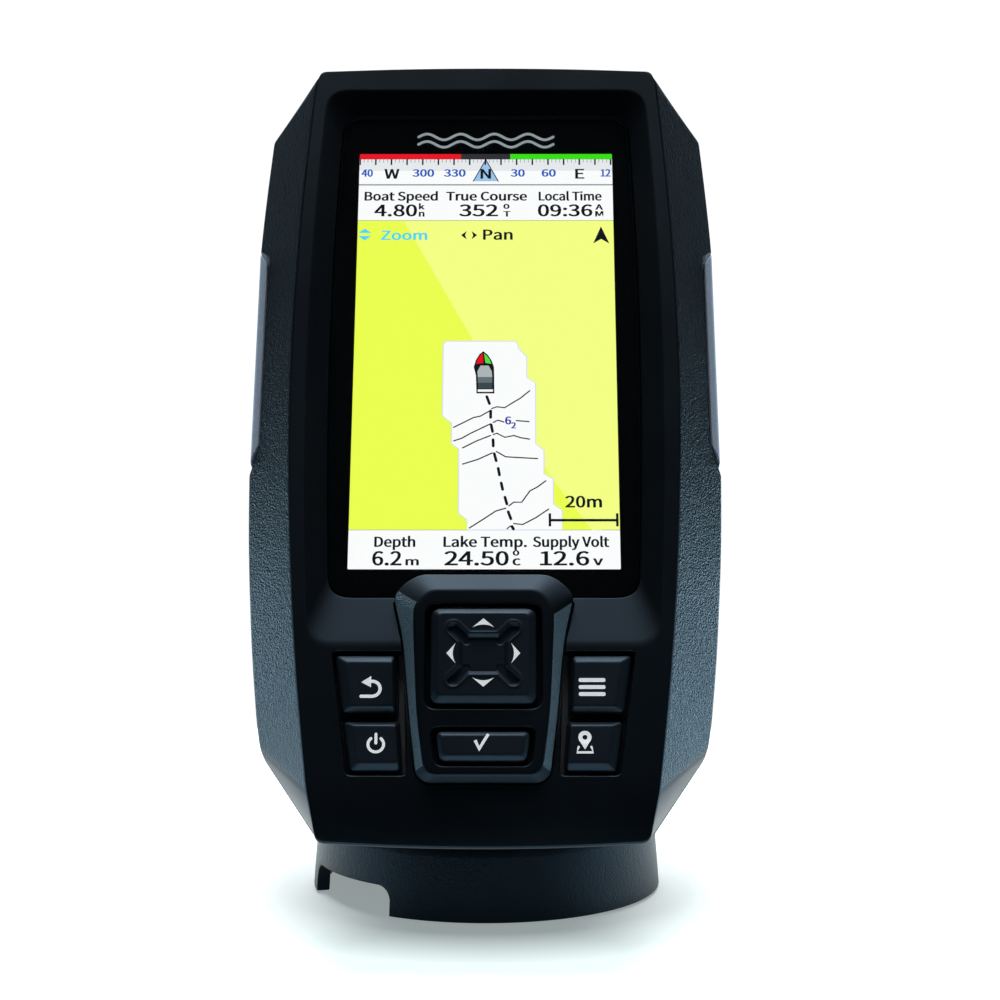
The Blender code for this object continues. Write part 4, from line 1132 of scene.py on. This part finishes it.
DARK_WORDS = (
    # words, across, base, capital height, width
    ("W", -20.0, 88.95, 2.35, 3.1), ("N", 0.0, 88.95, 2.35, 2.1), ("E", 20.0, 88.95, 2.35, 1.8),
    ("Boat Speed", -17.9, 83.6, 2.1, 15.4), ("True Course", 0.2, 83.6, 2.1, 17.0),
    ("Local Time", 17.9, 83.6, 2.1, 13.2),
    ("4.80", -19.0, 79.8, 2.8, 8.9), ("k", -13.5, 81.45, 1.35, 1.1), ("n", -13.5, 79.7, 1.5, 1.05),
    ("352", -1.5, 79.8, 2.8, 8.1), ("o", 4.4, 81.6, 1.5, 1.2), ("T", 4.5, 79.7, 1.3, 1.4),
    ("09:36", 16.8, 79.8, 2.8, 11.4), ("A", 24.0, 81.35, 1.3, 1.5), ("M", 24.0, 79.7, 1.3, 1.6),
    ("Pan", 2.6, 74.15, 2.4, 6.1),
    ("20m", 19.8, 13.3, 2.45, 7.2),
    ("Depth", -17.7, 4.85, 2.15, 8.0), ("Lake Temp.", 0.2, 4.85, 2.15, 16.4),
    ("Supply Volt", 17.2, 4.85, 2.15, 15.0),
    ("6.2", -19.2, 0.95, 2.95, 5.7), ("m", -14.2, 0.95, 1.7, 2.5),
    ("24.50", -1.5, 0.95, 2.95, 12.6), ("o", 6.3, 3.0, 1.5, 1.2), ("c", 6.4, 0.95, 1.9, 1.5),
    ("12.6", 15.9, 0.95, 2.95, 9.6), ("v", 22.5, 0.95, 1.9, 1.9),
)
BLUE_WORDS = (
    ("40", -25.25, 89.45, 1.75, 2.3), ("300", -13.3, 89.45, 1.75, 4.5), ("330", -6.6, 89.45, 1.75, 4.5),
    ("30", 6.8, 89.45, 1.75, 2.9), ("60", 13.4, 89.45, 1.75, 2.9), ("12", 25.5, 89.45, 1.75, 2.0),
)


class FINDER_OT_picture(bpy.types.Operator):
    """Picture on the panel: compass tape, data rows and a chart with a boat and its track"""

    bl_idname = "finder.picture"
    bl_label = "Picture"

    def execute(self, context):
        screen = context.scene.finder_screen
        glow = screen.brightness

        def lay(name, shapes, colour):
            material = printed_ink(name + "_light", colour, glow)
            piece = mesh_object(name, *joined(shapes))
            placed(piece, "unit", [material])

        def flat(outline, level=INK):
            return prism(on_picture(outline), level, level + THIN)

        def band(low, high):
            return flat(rectangle(-PICTURE_HALF, PICTURE_HALF, low, high), SHEET)

        def bar(left, right):
            return flat(rectangle(left, right, BAR_LOW, BAR_HIGH), SHEET)

        lay("chart_land", [band(8.5, 78.75)], screen.land_colour)
        # Painted sheen: lighter ground right of a diagonal, a glare drawn into the picture.
        lay("chart_painted_sheen", [flat(PAINTED_SHEEN_LINE, SHEEN)], screen.painted_sheen_colour)
        lay("chart_water", [flat(SURVEYED, WATER)], screen.paper_colour)
        edge = stroke(np.concatenate([SURVEYED, SURVEYED[:1]]), 0.42)
        lay("chart_shore", [flat(edge, SHORE)], (0.66, 0.70, 0.86))
        lay("data_rows", [band(0, 8.4), band(78.85, 87.3), band(87.6, 90.9)], screen.paper_colour)
        lay("tape_shade", [band(90.9, BAR_LOW)], (0.80, 0.82, 0.84))
        lay("row_rules", [band(8.4, 8.5), band(78.75, 78.85), band(87.3, 87.6)], (0.22, 0.25, 0.27))
        lay("port_bar", [bar(-PICTURE_HALF, -5.3)], (0.80, 0.010, 0.020))
        lay("starboard_bar", [bar(5.2, PICTURE_HALF)], (0.045, 0.73, 0.010))
        lay("middle_bar", [bar(-5.3, 5.2)], (0.030, 0.030, 0.036))
        tip, left, right = (0.0, 93.6), (-2.65, 88.3), (2.65, 88.3)
        lay("tape_needle", [flat((tip, left, right), WATER)], (0.34, 0.56, 0.80))
        lay("needle_edges", [flat(stroke((tip, end), 0.22), NEEDLE_EDGE) for end in (left, right)],
            (0.01, 0.03, 0.12))
        spots = TICK_START + TICK_STEP * np.arange(-8, 9)
        ticks = [flat(rectangle(max(spot - 0.17, -26.9), min(spot + 0.17, 26.9), 92.3, 93.75), TICK)
                 for spot in spots]
        small = [flat(rectangle(spot - 0.08 + part, spot + 0.08 + part, 92.9, BAR_LOW), WATER)
                 for spot in spots[:-1] for part in (0.83, 1.67, 2.5)]
        lay("tape_minor_ticks", small, (0.36, 0.38, 0.40))
        letters = [lettering(*words, INK) for words in DARK_WORDS]
        dashes = [flat(stroke(dash, 0.58, 3)) for dash in TRACK]
        lines = [flat(stroke(contour, 0.27, 3)) for contour in CONTOURS]
        signs = [flat(outline) for outline in SIGNS]
        lay("picture_ink", letters + ticks + dashes + lines + signs, screen.ink_colour)
        lay("compass_figures", [lettering(*words, INK) for words in BLUE_WORDS], screen.blue_colour)
        zoom = [lettering("Zoom", -17.1, 74.1, 2.2, 9.6, INK), *(flat(arrow) for arrow in ZOOM_ARROWS)]
        lay("active_word", zoom, screen.sky_colour)
        figures = [lettering("6", 4.75, 31.5, 1.7, 1.15, INK), lettering("2", 5.85, 30.6, 1.3, 0.9, INK)]
        lay("sounding", figures, (0.03, 0.03, 0.35))
        lay("boat_hull", [flat(BOAT_HULL, HULL)], (0.008, 0.010, 0.012))
        for name, outline, colour in BOAT:
            lay("boat_" + name, [flat(outline, TOP)], colour)
        return {"FINISHED"}


# ---- back of the case -----------------------------------------------------------------------------
class FINDER_OT_rear_shell(bpy.types.Operator):
    """Rear shell with its screw wells and the dock rail"""

    bl_idname = "finder.rear_shell"
    bl_label = "Rear shell"

    def execute(self, context):
        case = context.scene.finder_case
        inner = REAR_FACE - REAR_WALL
        widest = case_loop(WIDEST, WIDEST_RADII)
        front = PART_LINE + PART_GAP
        rings = [
            (resized(0.70, 98, -28), inner, 0), (resized(0.78, 103.0, -32.5), inner, 1.0),
            (resized(0.85, 107.5, -39.5), 33.0, 3.0), (resized(0.87, 108.5, -46.0), 20.0, 2.0),
            (resized(0.87, 108.5, -46.5), front, 0.2), (widest, front, 0.3), (widest, 20.0, 2.0),
            (resized(0.93, 111.0, -43.0), 33.0, 5.0), (resized(0.85, 108.0, -37.0), 39.5, 1.8),
            (resized(0.81, 105.5, -34.5), REAR_FACE, 1.2), (resized(0.72, 99.0, -29.0), REAR_FACE, 0),
        ]
        made = filleted([at_depth(outline, depth) for outline, depth, _ in rings],
                        [radius for _, _, radius in rings], 5)
        shell = mesh_object("rear_shell", *skin(made))
        cutters = [*notch_cutters(14, NOTCH_BACK),
                   plate_cutter(circle((0, SOCKET_UP), 8.3, 96), inner - 3, REAR_FACE + 1),
                   plate_cutter(circle(VENT_PLACE, 4.3, 64), REAR_FACE - 1.2, REAR_FACE + 1)]
        cutters += [plate_cutter(circle(place, 3.3, 64), 28, REAR_FACE + 2)
                    for place in SCREW_PLACES.values()]
        carved(shell, cutters)
        plastic = moulded_plastic("rear_satin", case.rear_colour, 0.5, 0.000014, 0.00003, 2300.0)
        smoothed(shell)
        placed(shell, "unit", [plastic], ("rear_housing",))
        profile = ((3.3, SCREW_SEAT), (3.3, 38.2), (4.4, 38.2), (4.4, SCREW_SEAT - 4),
                   (1.7, SCREW_SEAT - 4), (1.7, SCREW_SEAT))
        wells = [skin(revolved(profile, (0.2, 0, 0, 0, 0, 0.1), 48, "Y", (x, 0, z)), cyclic=True)
                 for x, z in SCREW_PLACES.values()]
        placed(smoothed(mesh_object("screw_wells", *joined(wells))), "unit", [plastic])
        outline = loop(DOCK_PROFILE, 0.3, 2, 3)
        rail = [np.column_stack([outline, np.full(len(outline), up)]) for up in (DOCK_LOW, DOCK_HIGH)]
        dock = mesh_object("dock_rail", *skin(rail))
        carved(dock, [plate_cutter(rectangle(-6.6, 6.6, 33.4, 39.2), 44.2, 47)])
        smoothed(bevelled(dock, 0.35 * MM, 2, 50), 40)
        placed(dock, "unit", [plastic])
        return {"FINISHED"}


class FINDER_OT_side_grips(bpy.types.Operator):
    """Painted bands in the side notches, each with a shallow channel down its edge"""

    bl_idname = "finder.side_grips"
    bl_label = "Side grips"

    def execute(self, context):
        # Partly the grips' own paint, partly painted light: the colour is lighter and bluer to stand in for
        # the light they catch.
        paint = painted("grip_paint_and_painted_light", context.scene.finder_case.grip_colour_painted_light, 0.36, 0.0)
        for side, sign in SIDES:
            outline = np.asarray(GRIP, float) * (sign, 1)
            full, waist = loop(outline, 0.5, 10), loop(offset(outline, -0.22), 0.4, 10)
            small, end = loop(offset(outline, -0.35), 0.35, 10), loop(offset(outline, -0.6), 0.2, 10)
            rings = [at_depth(shape, depth) for shape, depth in (
                (end, GRIP_FRONT), (small, GRIP_FRONT), (full, GRIP_FRONT + 0.6), (full, 18.6),
                (waist, 19.4), (waist, 20.6), (full, 21.4), (full, GRIP_BACK - 0.6), (small, GRIP_BACK),
                (end, GRIP_BACK))]
            made = filleted(rings, [0, 0.25, 0.25, 0.3, 0.3, 0.3, 0.3, 0.25, 0.25, 0])
            finished("grip_" + side, made, "unit", paint, "side_grip_" + side)
        return {"FINISHED"}


class FINDER_OT_fasteners(bpy.types.Operator):
    """Case screws with star sockets, the vent and the rear socket with its nut and contacts"""

    bl_idname = "finder.fasteners"
    bl_label = "Fasteners and socket"

    def execute(self, context):
        steel = metal("screw_steel", (0.50, 0.51, 0.53), 0.32)
        around, hole = spokes(turns(72)), star(1.25, 0.28)
        seat = SCREW_SEAT + 0.2
        for name, place in SCREW_PLACES.items():
            outlines = ((around * 0.2, 9.0), (around * 1.3, 9.5), (around * 1.3, seat),
                        (around * 2.8, seat), (around * 2.8, seat + 1.4), (around * 1.9, seat + 2.1),
                        (hole, seat + 2.1), (hole * 0.92, seat + 0.9), (hole * 0.1, seat + 0.8))
            rings = filleted([at_depth(outline + place, depth) for outline, depth in outlines],
                             [0, 0.3, 0.1, 0.1, 0.4, 0.2, 0.12, 0.1, 0])
            finished("screw_" + name, rings, "unit", steel, "case_screw_" + name, 45)
        centre = (0, 0, SOCKET_UP)
        shell = moulded_plastic("socket_plastic", (0.010, 0.011, 0.012), 0.4, 0.000008)
        black = rubber("seal_rubber")
        brass = metal("contact_brass", (0.83, 0.62, 0.28), 0.25)
        socket = ((0.4, 30.0), (8.1, 30.0), (8.1, 36.2), (10.4, 36.2), (10.4, 37.9), (8.1, 37.9),
                  (8.1, 46.0), (6.2, 46.0), (6.2, 34.0), (0.4, 34.0))
        self.turned("rear_socket", socket, (0, 0.3, 0.1, 0.2, 0.2, 0.1, 0.3, 0.3, 0.2, 0), centre, shell,
                    "rear_shell", "connector_socket")
        finished("socket_nut", self.nut_rings(centre), "unit", shell, "connector_nut", 40,
                 cyclic=True)
        seal = ((8.35, 38.15), (9.8, 38.15), (9.8, 39.05), (8.35, 39.05))
        self.turned("socket_seal", seal, (0.2, 0.3, 0.3, 0.2), centre, black, "seal_rubber",
                    "connector_seal", cyclic=True)
        pin = ((0.1, 27.0), (0.75, 27.0), (0.75, 40.6), (0.35, 41.3), (0.1, 41.3))
        for number, (x, z) in enumerate(circle((0, SOCKET_UP), 3.2, 8)[1::2], 1):
            self.turned(f"socket_contact_{number}", pin, (0, 0.1, 0.3, 0.15, 0), (x, 0, z), brass,
                        "contact_brass", f"connector_pin_{number}", steps=32)
        vent = ((0.2, 40.55), (4.0, 40.55), (4.0, 41.4), (3.4, 41.8), (1.2, 41.8), (1.0, 41.6), (0.2, 41.6))
        x, z = VENT_PLACE
        self.turned("vent", vent, (0, 0.1, 0.3, 0.3, 0.1, 0.1, 0), (x, 0, z), black, "seal_rubber",
                    "vent_plug", steps=64)
        return {"FINISHED"}

    def turned(self, name, profile, radii, centre, material, slot, node, cyclic=False, steps=96):
        """Turned piece on the unit that stands for one node."""
        finished(name, revolved(profile, radii, steps, "Y", centre), "unit", material, node, 40,
                 cyclic)

    def nut_rings(self, centre):
        """Ring nut whose rim is scalloped by the cosine of twelve times the angle."""
        angle = turns(144)
        swing = 0.25
        wave = swing * np.clip(np.cos(12 * angle) * 2.2, -1, 1)

        def ring(radius, depth, share):
            reach = radius + share * (wave - swing)
            return np.stack([centre[0] + reach * np.sin(angle), np.full(len(angle), depth),
                             centre[2] + reach * np.cos(angle)], axis=1)

        rings = [ring(8.35, 41.8, 0), ring(11.0, 41.8, 1), ring(11.0, 43.7, 1), ring(10.4, 44.4, 1),
                 ring(8.35, 44.4, 0)]
        return filleted(rings, [0.1, 0.2, 0.3, 0.3, 0.3], 4, cyclic=True)


# ---- mount ----------------------------------------------------------------------------------------
def notch_height(angle):
    """Height of the cable notch at an angle: rises in a quarter circle at each end, flat between."""
    into = np.minimum(angle - NOTCH_START, NOTCH_END - angle) * COVER_PROFILE[0][0]
    rounding = NOTCH_CORNER - np.clip(into, 0, NOTCH_CORNER)
    height = NOTCH_HEIGHT - NOTCH_CORNER + np.sqrt(np.maximum(NOTCH_CORNER ** 2 - rounding ** 2, 0))
    return np.where(into > 0, height, 0.0)


class FINDER_OT_swivel_cover(bpy.types.Operator):
    """Swivel cover: skirt with its cable notch, dome and the two arms of the tilt hinge"""

    bl_idname = "finder.swivel_cover"
    bl_label = "Swivel cover"

    def execute(self, context):
        mount = context.scene.finder_mount
        edges = []
        for end, inward in ((NOTCH_START, 1), (NOTCH_END, -1)):
            near = np.linspace(0.002, NOTCH_CORNER / COVER_PROFILE[0][0], 14)
            edges.append(end + inward * np.concatenate([[-0.0004, 0.0004], near]))
        angle = np.unique(np.concatenate([turns(360), *edges]))
        smallest_gap = 0.0003
        angle = angle[np.concatenate([[True], np.diff(angle) > smallest_gap])]
        rings = []
        foot = COVER_PROFILE[0][1]
        walls = (np.array(COVER_PROFILE[:4]), np.array(COVER_PROFILE[:-4:-1]))
        for radius, up in COVER_PROFILE:
            reach, lift = np.full(len(angle), radius), np.full(len(angle), up)
            if radius > SKIRT_INSIDE and up < NOTCH_FADE:
                wall = walls[0] if radius > SKIRT_MIDDLE else walls[1]
                share = (NOTCH_FADE - up) / (NOTCH_FADE - foot)
                lift = up + share * np.maximum(notch_height(angle) - foot, 0)
                reach = np.interp(lift, wall[:, 1], wall[:, 0])
            rings.append(np.stack([-reach * np.sin(angle), -reach * np.cos(angle), lift], axis=1))
        grain = moulded_plastic("mount_grain", mount.mount_colour, 0.40, 0.00001, mount.grain_depth, 2700.0,
                                specular=0.22)
        finished("swivel_skirt", filleted(rings, COVER_RADII, 3, cyclic=True), "swivel",
                 grain, "swivel_cover", cyclic=True, leaning=False)
        outline, inset = (
            np.concatenate([[(half, YOKE_FOOT)], arc((0, TILT_AXIS[2]), half, 0, 180, 40),
                            [(-half, YOKE_FOOT)]]) for half in (YOKE_HALF, YOKE_HALF - YOKE_BEVEL))
        middle = inset * 0.98 + (0, 0.6)
        shapes = ((middle, YOKE_INNER), (inset, YOKE_INNER), (outline, YOKE_INNER + YOKE_BEVEL),
                  (outline, YOKE_OUTER - YOKE_BEVEL), (inset, YOKE_OUTER), (middle, YOKE_OUTER))
        for side, sign in SIDES:
            rings = [np.column_stack([np.full(len(shape), sign * x), shape]) for shape, x in shapes]
            finished("yoke_arm_" + side, filleted(rings, [0, 0.4, 0.5, 0.5, 0.4, 0], 3), "swivel",
                     grain, leaning=False)
        return {"FINISHED"}


class FINDER_OT_mount_parts(bpy.types.Operator):
    """Cradle, sprung catch, base plate and the hinge hardware"""

    bl_idname = "finder.mount_parts"
    bl_label = "Cradle, base and hinge"

    def execute(self, context):
        mount = context.scene.finder_mount
        grain = bpy.data.materials["mount_grain"]
        steel = bpy.data.materials["screw_steel"]
        softened("cradle_shell", "cradle", mount.edge_radius, grain, "cradle")
        softened("catch_spring", "catch_tongue", mount.edge_radius * 0.6, grain, "cradle")
        softened("base_disc", "base_plate", mount.edge_radius * 0.5, grain, "base")
        self.knob(moulded_plastic("knob_plastic", mount.mount_colour, 0.38, 0.00001))
        bolt = ((0.3, -21.0), (2.1, -21.0), (2.5, -20.6), (2.5, 24.5), (0.3, 24.5))
        finished("hinge_bolt", revolved(bolt, (0, 0.2, 0.2, 0.3, 0), 48, "X", TILT_AXIS), "swivel",
                 steel, "tilt_bolt", 40, leaning=False)
        nut = ((3.0, -19.4), (4.7, -19.4), (5.5, -19.0), (5.5, -16.2), (4.7, -15.8), (3.0, -15.8))
        rings = revolved(nut, (0.2, 0, 0, 0, 0, 0.2), 6, "X", TILT_AXIS)
        piece = bevelled(mesh_object("hinge_nut", *skin(rings, cyclic=True), leaning=False), 0.15 * MM, 2)
        placed(smoothed(piece, 40), "swivel", [steel], ("tilt_nut",))
        washer = ((2.3, 20.3), (6.5, 20.3), (6.5, 21.3), (2.3, 21.3))
        finished("swivel_washer", revolved(washer, (0.15, 0.2, 0.2, 0.15), 72, "Z"), "base",
                 steel, "pivot_washer", 40, cyclic=True, leaning=False)
        around, hole = spokes(turns(72)), star(1.5, 0.3)
        outlines = ((around * 0.3, 5.0), (around * 1.9, 5.5), (around * 1.9, 21.6), (around * 4.0, 21.6),
                    (around * 4.0, 23.0), (around * 2.9, 24.1), (hole, 24.1), (hole * 0.9, 22.9),
                    (hole * 0.1, 22.8))
        rings = filleted([np.column_stack([outline, np.full(len(outline), up)]) for outline, up in outlines],
                         [0, 0.3, 0.1, 0.2, 0.5, 0.2, 0.15, 0.1, 0])
        finished("swivel_screw", rings, "base", steel, "pivot_screw", 45, leaning=False)
        return {"FINISHED"}

    def knob(self, plastic):
        """Six-lobed knob: the rim's radius is a middle value plus a share of the cosine of six turns."""
        angle = turns(144)
        lobes = 10.2 + 0.8 * np.cos(6 * angle)

        def ring(x, reach):
            return np.column_stack([np.full(len(angle), x), spokes(angle) * np.reshape(reach, (-1, 1))])

        rings = [ring(24.9, 0.3), ring(24.9, 2.75), ring(15.9, 2.75), ring(15.9, lobes * 0.86),
                 ring(17.0, lobes), ring(25.6, lobes), ring(27.4, lobes * 0.84), ring(27.4, lobes * 0.55),
                 ring(26.7, lobes * 0.45), ring(26.7, 0.3)]
        made = filleted(rings, [0, 0.1, 0.2, 0.3, 0.6, 0.9, 0.5, 0.4, 0.4, 0], 4)
        made = [ring + TILT_AXIS for ring in made]
        finished("clamp_knob", made, "knob", plastic, "tilt_knob", leaning=False)


class FINDER_OT_insides(bpy.types.Operator):
    """Finishes of the pieces inside the case, which keep their own shapes"""

    bl_idname = "finder.insides"
    bl_label = "Insides"

    def execute(self, context):
        board = circuit_board("board_lacquer")
        sheet = metal("sheet_steel", (0.56, 0.57, 0.58), 0.28, (1, 1, 0.15))
        chip = moulded_plastic("chip_resin", (0.011, 0.011, 0.012), 0.55, 0.00001)
        black = bpy.data.materials["seal_rubber"]
        finishes = {
            board: ("main_board", "keypad_board"),
            sheet: ("lcd_bracket", "board_shield", "key_switch_back", "key_switch_power", "key_switch_menu",
                    "key_switch_mark", "key_switch_enter"),
            chip: ("board_header", "processor", "sonar_transformer", "power_inductor", "buzzer"),
            black: ("case_seal", "keypad_mat", "dpad_pivot"),
            metal("capacitor_can", (0.70, 0.71, 0.73), 0.3): ("supply_capacitor_left",
                                                              "supply_capacitor_right"),
            painted("antenna_ceramic", (0.52, 0.47, 0.38), 0.5, 0.0): ("gps_antenna",),
            painted("flex_amber", (0.36, 0.17, 0.03), 0.35, 0.0): ("display_flex",),
            painted("tray_white", (0.72, 0.73, 0.72), 0.45, 0.0): ("backlight_tray", "light_guide"),
            moulded_plastic("panel_black", (0.004, 0.004, 0.005), 0.3, 0.000004): ("lcd_panel",),
        }
        for material, names in finishes.items():
            for name in names:
                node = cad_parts[name]
                node.data.materials.clear()
                node.data.materials.append(material)
        return {"FINISHED"}


# ---- studio ---------------------------------------------------------------------------------------
STRIP_LENGTH, STRIP_HEIGHT = 1.3, 0.11
STRIP_ACROSS, STRIP_BEHIND, STRIP_UP = 0.62, 0.38, 0.005
FLOOR_BEHIND, FLOOR_RADIUS, FLOOR_DROP = 0.03, 0.19, 0.0001
# The floor's glow rises across the shadow span; the dim glow near the object is a painted shadow.
SHADOW_SPAN, FLOOR_GLOW_PAINTED_SHADOW = (0.044, 0.067), (0.32, 1.0)
BEHIND_SPAN, ROOM_LIGHT = (0.74, 0.93), (0.015, 1.0)


class FINDER_OT_studio(bpy.types.Operator):
    """Pale floor, soft lights and the camera"""

    bl_idname = "finder.studio"
    bl_label = "Studio"

    def execute(self, context):
        scene = context.scene
        studio = scene.finder_studio
        scene.view_settings.view_transform = "Standard"
        self.floor(studio.floor_colour)
        self.surroundings(scene)
        sun = bpy.data.lights.new("top_light", "SUN")
        sun.energy = studio.top_light
        sun.angle = math.radians(46)
        sun.color = (0.97, 0.99, 1.0)
        holder = bpy.data.objects.new("top_light", sun)
        holder.rotation_euler = (math.radians(-13), 0, 0)
        scene.collection.objects.link(holder)
        for name, side, share in (("left_strip", -1, 0.75), ("right_strip", 1, 1.0)):
            strip = bpy.data.lights.new(name, "AREA")
            strip.shape = "RECTANGLE"
            strip.size, strip.size_y = STRIP_LENGTH, STRIP_HEIGHT
            strip.energy = studio.side_light * share
            strip.color = (0.58, 0.86, 1.0)
            holder = bpy.data.objects.new(name, strip)
            holder.location = (side * STRIP_ACROSS, STRIP_BEHIND, STRIP_UP)
            holder.rotation_euler = (math.pi / 2, 0, side * math.pi / 2)
            scene.collection.objects.link(holder)
        self.camera(scene)
        return {"FINISHED"}

    def floor(self, colour):
        """Round floor that glows, more so away from the object, so that it stays pale all round it; the
        dimmer glow near the object paints a soft shadow round the base.
        """
        rim = circle((0, FLOOR_BEHIND), FLOOR_RADIUS, 128)
        corners = np.column_stack([rim, np.full(len(rim), -FLOOR_DROP)]).tolist()
        mesh = bpy.data.meshes.new("floor")
        mesh.from_pydata(corners, [], [list(range(len(corners)))])
        floor = bpy.data.objects.new("floor", mesh)
        bpy.context.scene.collection.objects.link(floor)
        material, tree, shader, place = finish_material("floor_paint", colour, 0.9)
        shader.inputs["Specular IOR Level"].default_value = 0.0
        shader.inputs["Emission Color"].default_value = (0.88, 1.0, 0.99, 1.0)
        far = tree.nodes.new("ShaderNodeVectorMath")
        far.operation = "LENGTH"
        tree.links.new(place, far.inputs[0])
        # The glow is dimmer near the object: a painted shadow round the base.
        glow = ranged(tree, far.outputs["Value"], SHADOW_SPAN, *FLOOR_GLOW_PAINTED_SHADOW)
        tree.links.new(glow, shader.inputs["Emission Strength"])
        cloud = pattern(tree, place, "noise", 2.0, 2.0)
        mottled(tree, shader, cloud, "Base Color", shade(colour, 0.995), colour)
        mesh.materials.append(material)

    def surroundings(self, scene):
        """White to the camera; for reflections, bright behind the object and dim all round it."""
        world = bpy.data.worlds.new("studio_world")
        scene.world = world
        world.use_nodes = True
        tree = world.node_tree
        dim = tree.nodes["Background"]
        dim.inputs["Color"].default_value = (0.66, 0.86, 1.0, 1.0)
        place = tree.nodes.new("ShaderNodeTexCoord")
        split = tree.nodes.new("ShaderNodeSeparateXYZ")
        tree.links.new(place.outputs["Generated"], split.inputs["Vector"])
        tree.links.new(ranged(tree, split.outputs["Y"], BEHIND_SPAN, *ROOM_LIGHT), dim.inputs["Strength"])
        white = tree.nodes.new("ShaderNodeBackground")
        white.inputs["Color"].default_value = (1.0, 1.0, 1.0, 1.0)
        white.inputs["Strength"].default_value = 1.05
        seen = tree.nodes.new("ShaderNodeLightPath")
        mix = tree.nodes.new("ShaderNodeMixShader")
        tree.links.new(seen.outputs["Is Camera Ray"], mix.inputs["Fac"])
        tree.links.new(dim.outputs["Background"], mix.inputs[1])
        tree.links.new(white.outputs["Background"], mix.inputs[2])
        tree.links.new(mix.outputs["Shader"], tree.nodes["World Output"].inputs["Surface"])

    def camera(self, scene):
        """Camera a little above the object and almost straight in front of it."""
        lens = bpy.data.cameras.new("camera")
        lens.lens = 79.09
        lens.sensor_width = 36.0
        lens.clip_start, lens.clip_end = 0.01, 20.0
        camera = bpy.data.objects.new("camera", lens)
        right = (0.999995, 0.003138, -0.000202)
        up = (0.000006, 0.062256, 0.998060)
        back = (0.003145, -0.998055, 0.062256)
        place = (0.004499, -0.479763, 0.114542)
        camera.matrix_world = Matrix([(r, u, b, p) for r, u, b, p in zip(right, up, back, place)]
                                     + [(0, 0, 0, 1)])
        scene.collection.objects.link(camera)
        scene.camera = camera


# ---- add-on ---------------------------------------------------------------------------------------
GROUPS = (
    ("finder_case", FinderCaseSettings),
    ("finder_keys", FinderKeySettings),
    ("finder_screen", FinderScreenSettings),
    ("finder_mount", FinderMountSettings),
    ("finder_studio", FinderStudioSettings),
)
STEPS = (
    FINDER_OT_front_shell,
    FINDER_OT_keypad_surround,
    FINDER_OT_keys,
    FINDER_OT_four_way_pad,
    FINDER_OT_symbols,
    FINDER_OT_window,
    FINDER_OT_picture,
    FINDER_OT_rear_shell,
    FINDER_OT_side_grips,
    FINDER_OT_fasteners,
    FINDER_OT_swivel_cover,
    FINDER_OT_mount_parts,
    FINDER_OT_insides,
    FINDER_OT_studio,
)


class FINDER_PT_panel(bpy.types.Panel):
    """Lists the pieces and their settings"""

    bl_label = "Fish Finder"
    bl_idname = "FINDER_PT_panel"
    bl_space_type = "VIEW_3D"
    bl_region_type = "UI"
    bl_category = "Finder"

    def draw(self, context):
        for step in STEPS:
            self.layout.operator(step.bl_idname)
        for attribute, group in GROUPS:
            box = self.layout.box()
            settings = getattr(context.scene, attribute)
            for name in group.__annotations__:
                box.prop(settings, name)


def register():
    """Registers the settings, the operators and the panel."""
    for attribute, group in GROUPS:
        bpy.utils.register_class(group)
        setattr(bpy.types.Scene, attribute, bpy.props.PointerProperty(type=group))
    for step in STEPS:
        bpy.utils.register_class(step)
    bpy.utils.register_class(FINDER_PT_panel)


def unregister():
    """Removes what register added."""
    bpy.utils.unregister_class(FINDER_PT_panel)
    for step in reversed(STEPS):
        bpy.utils.unregister_class(step)
    for attribute, group in reversed(GROUPS):
        delattr(bpy.types.Scene, attribute)
        bpy.utils.unregister_class(group)


def main():
    """Builds every piece and the studio."""
    register()
    for step in STEPS:
        family, name = step.bl_idname.split(".")
        getattr(getattr(bpy.ops, family), name)()


if __name__ == "__main__":
    main()
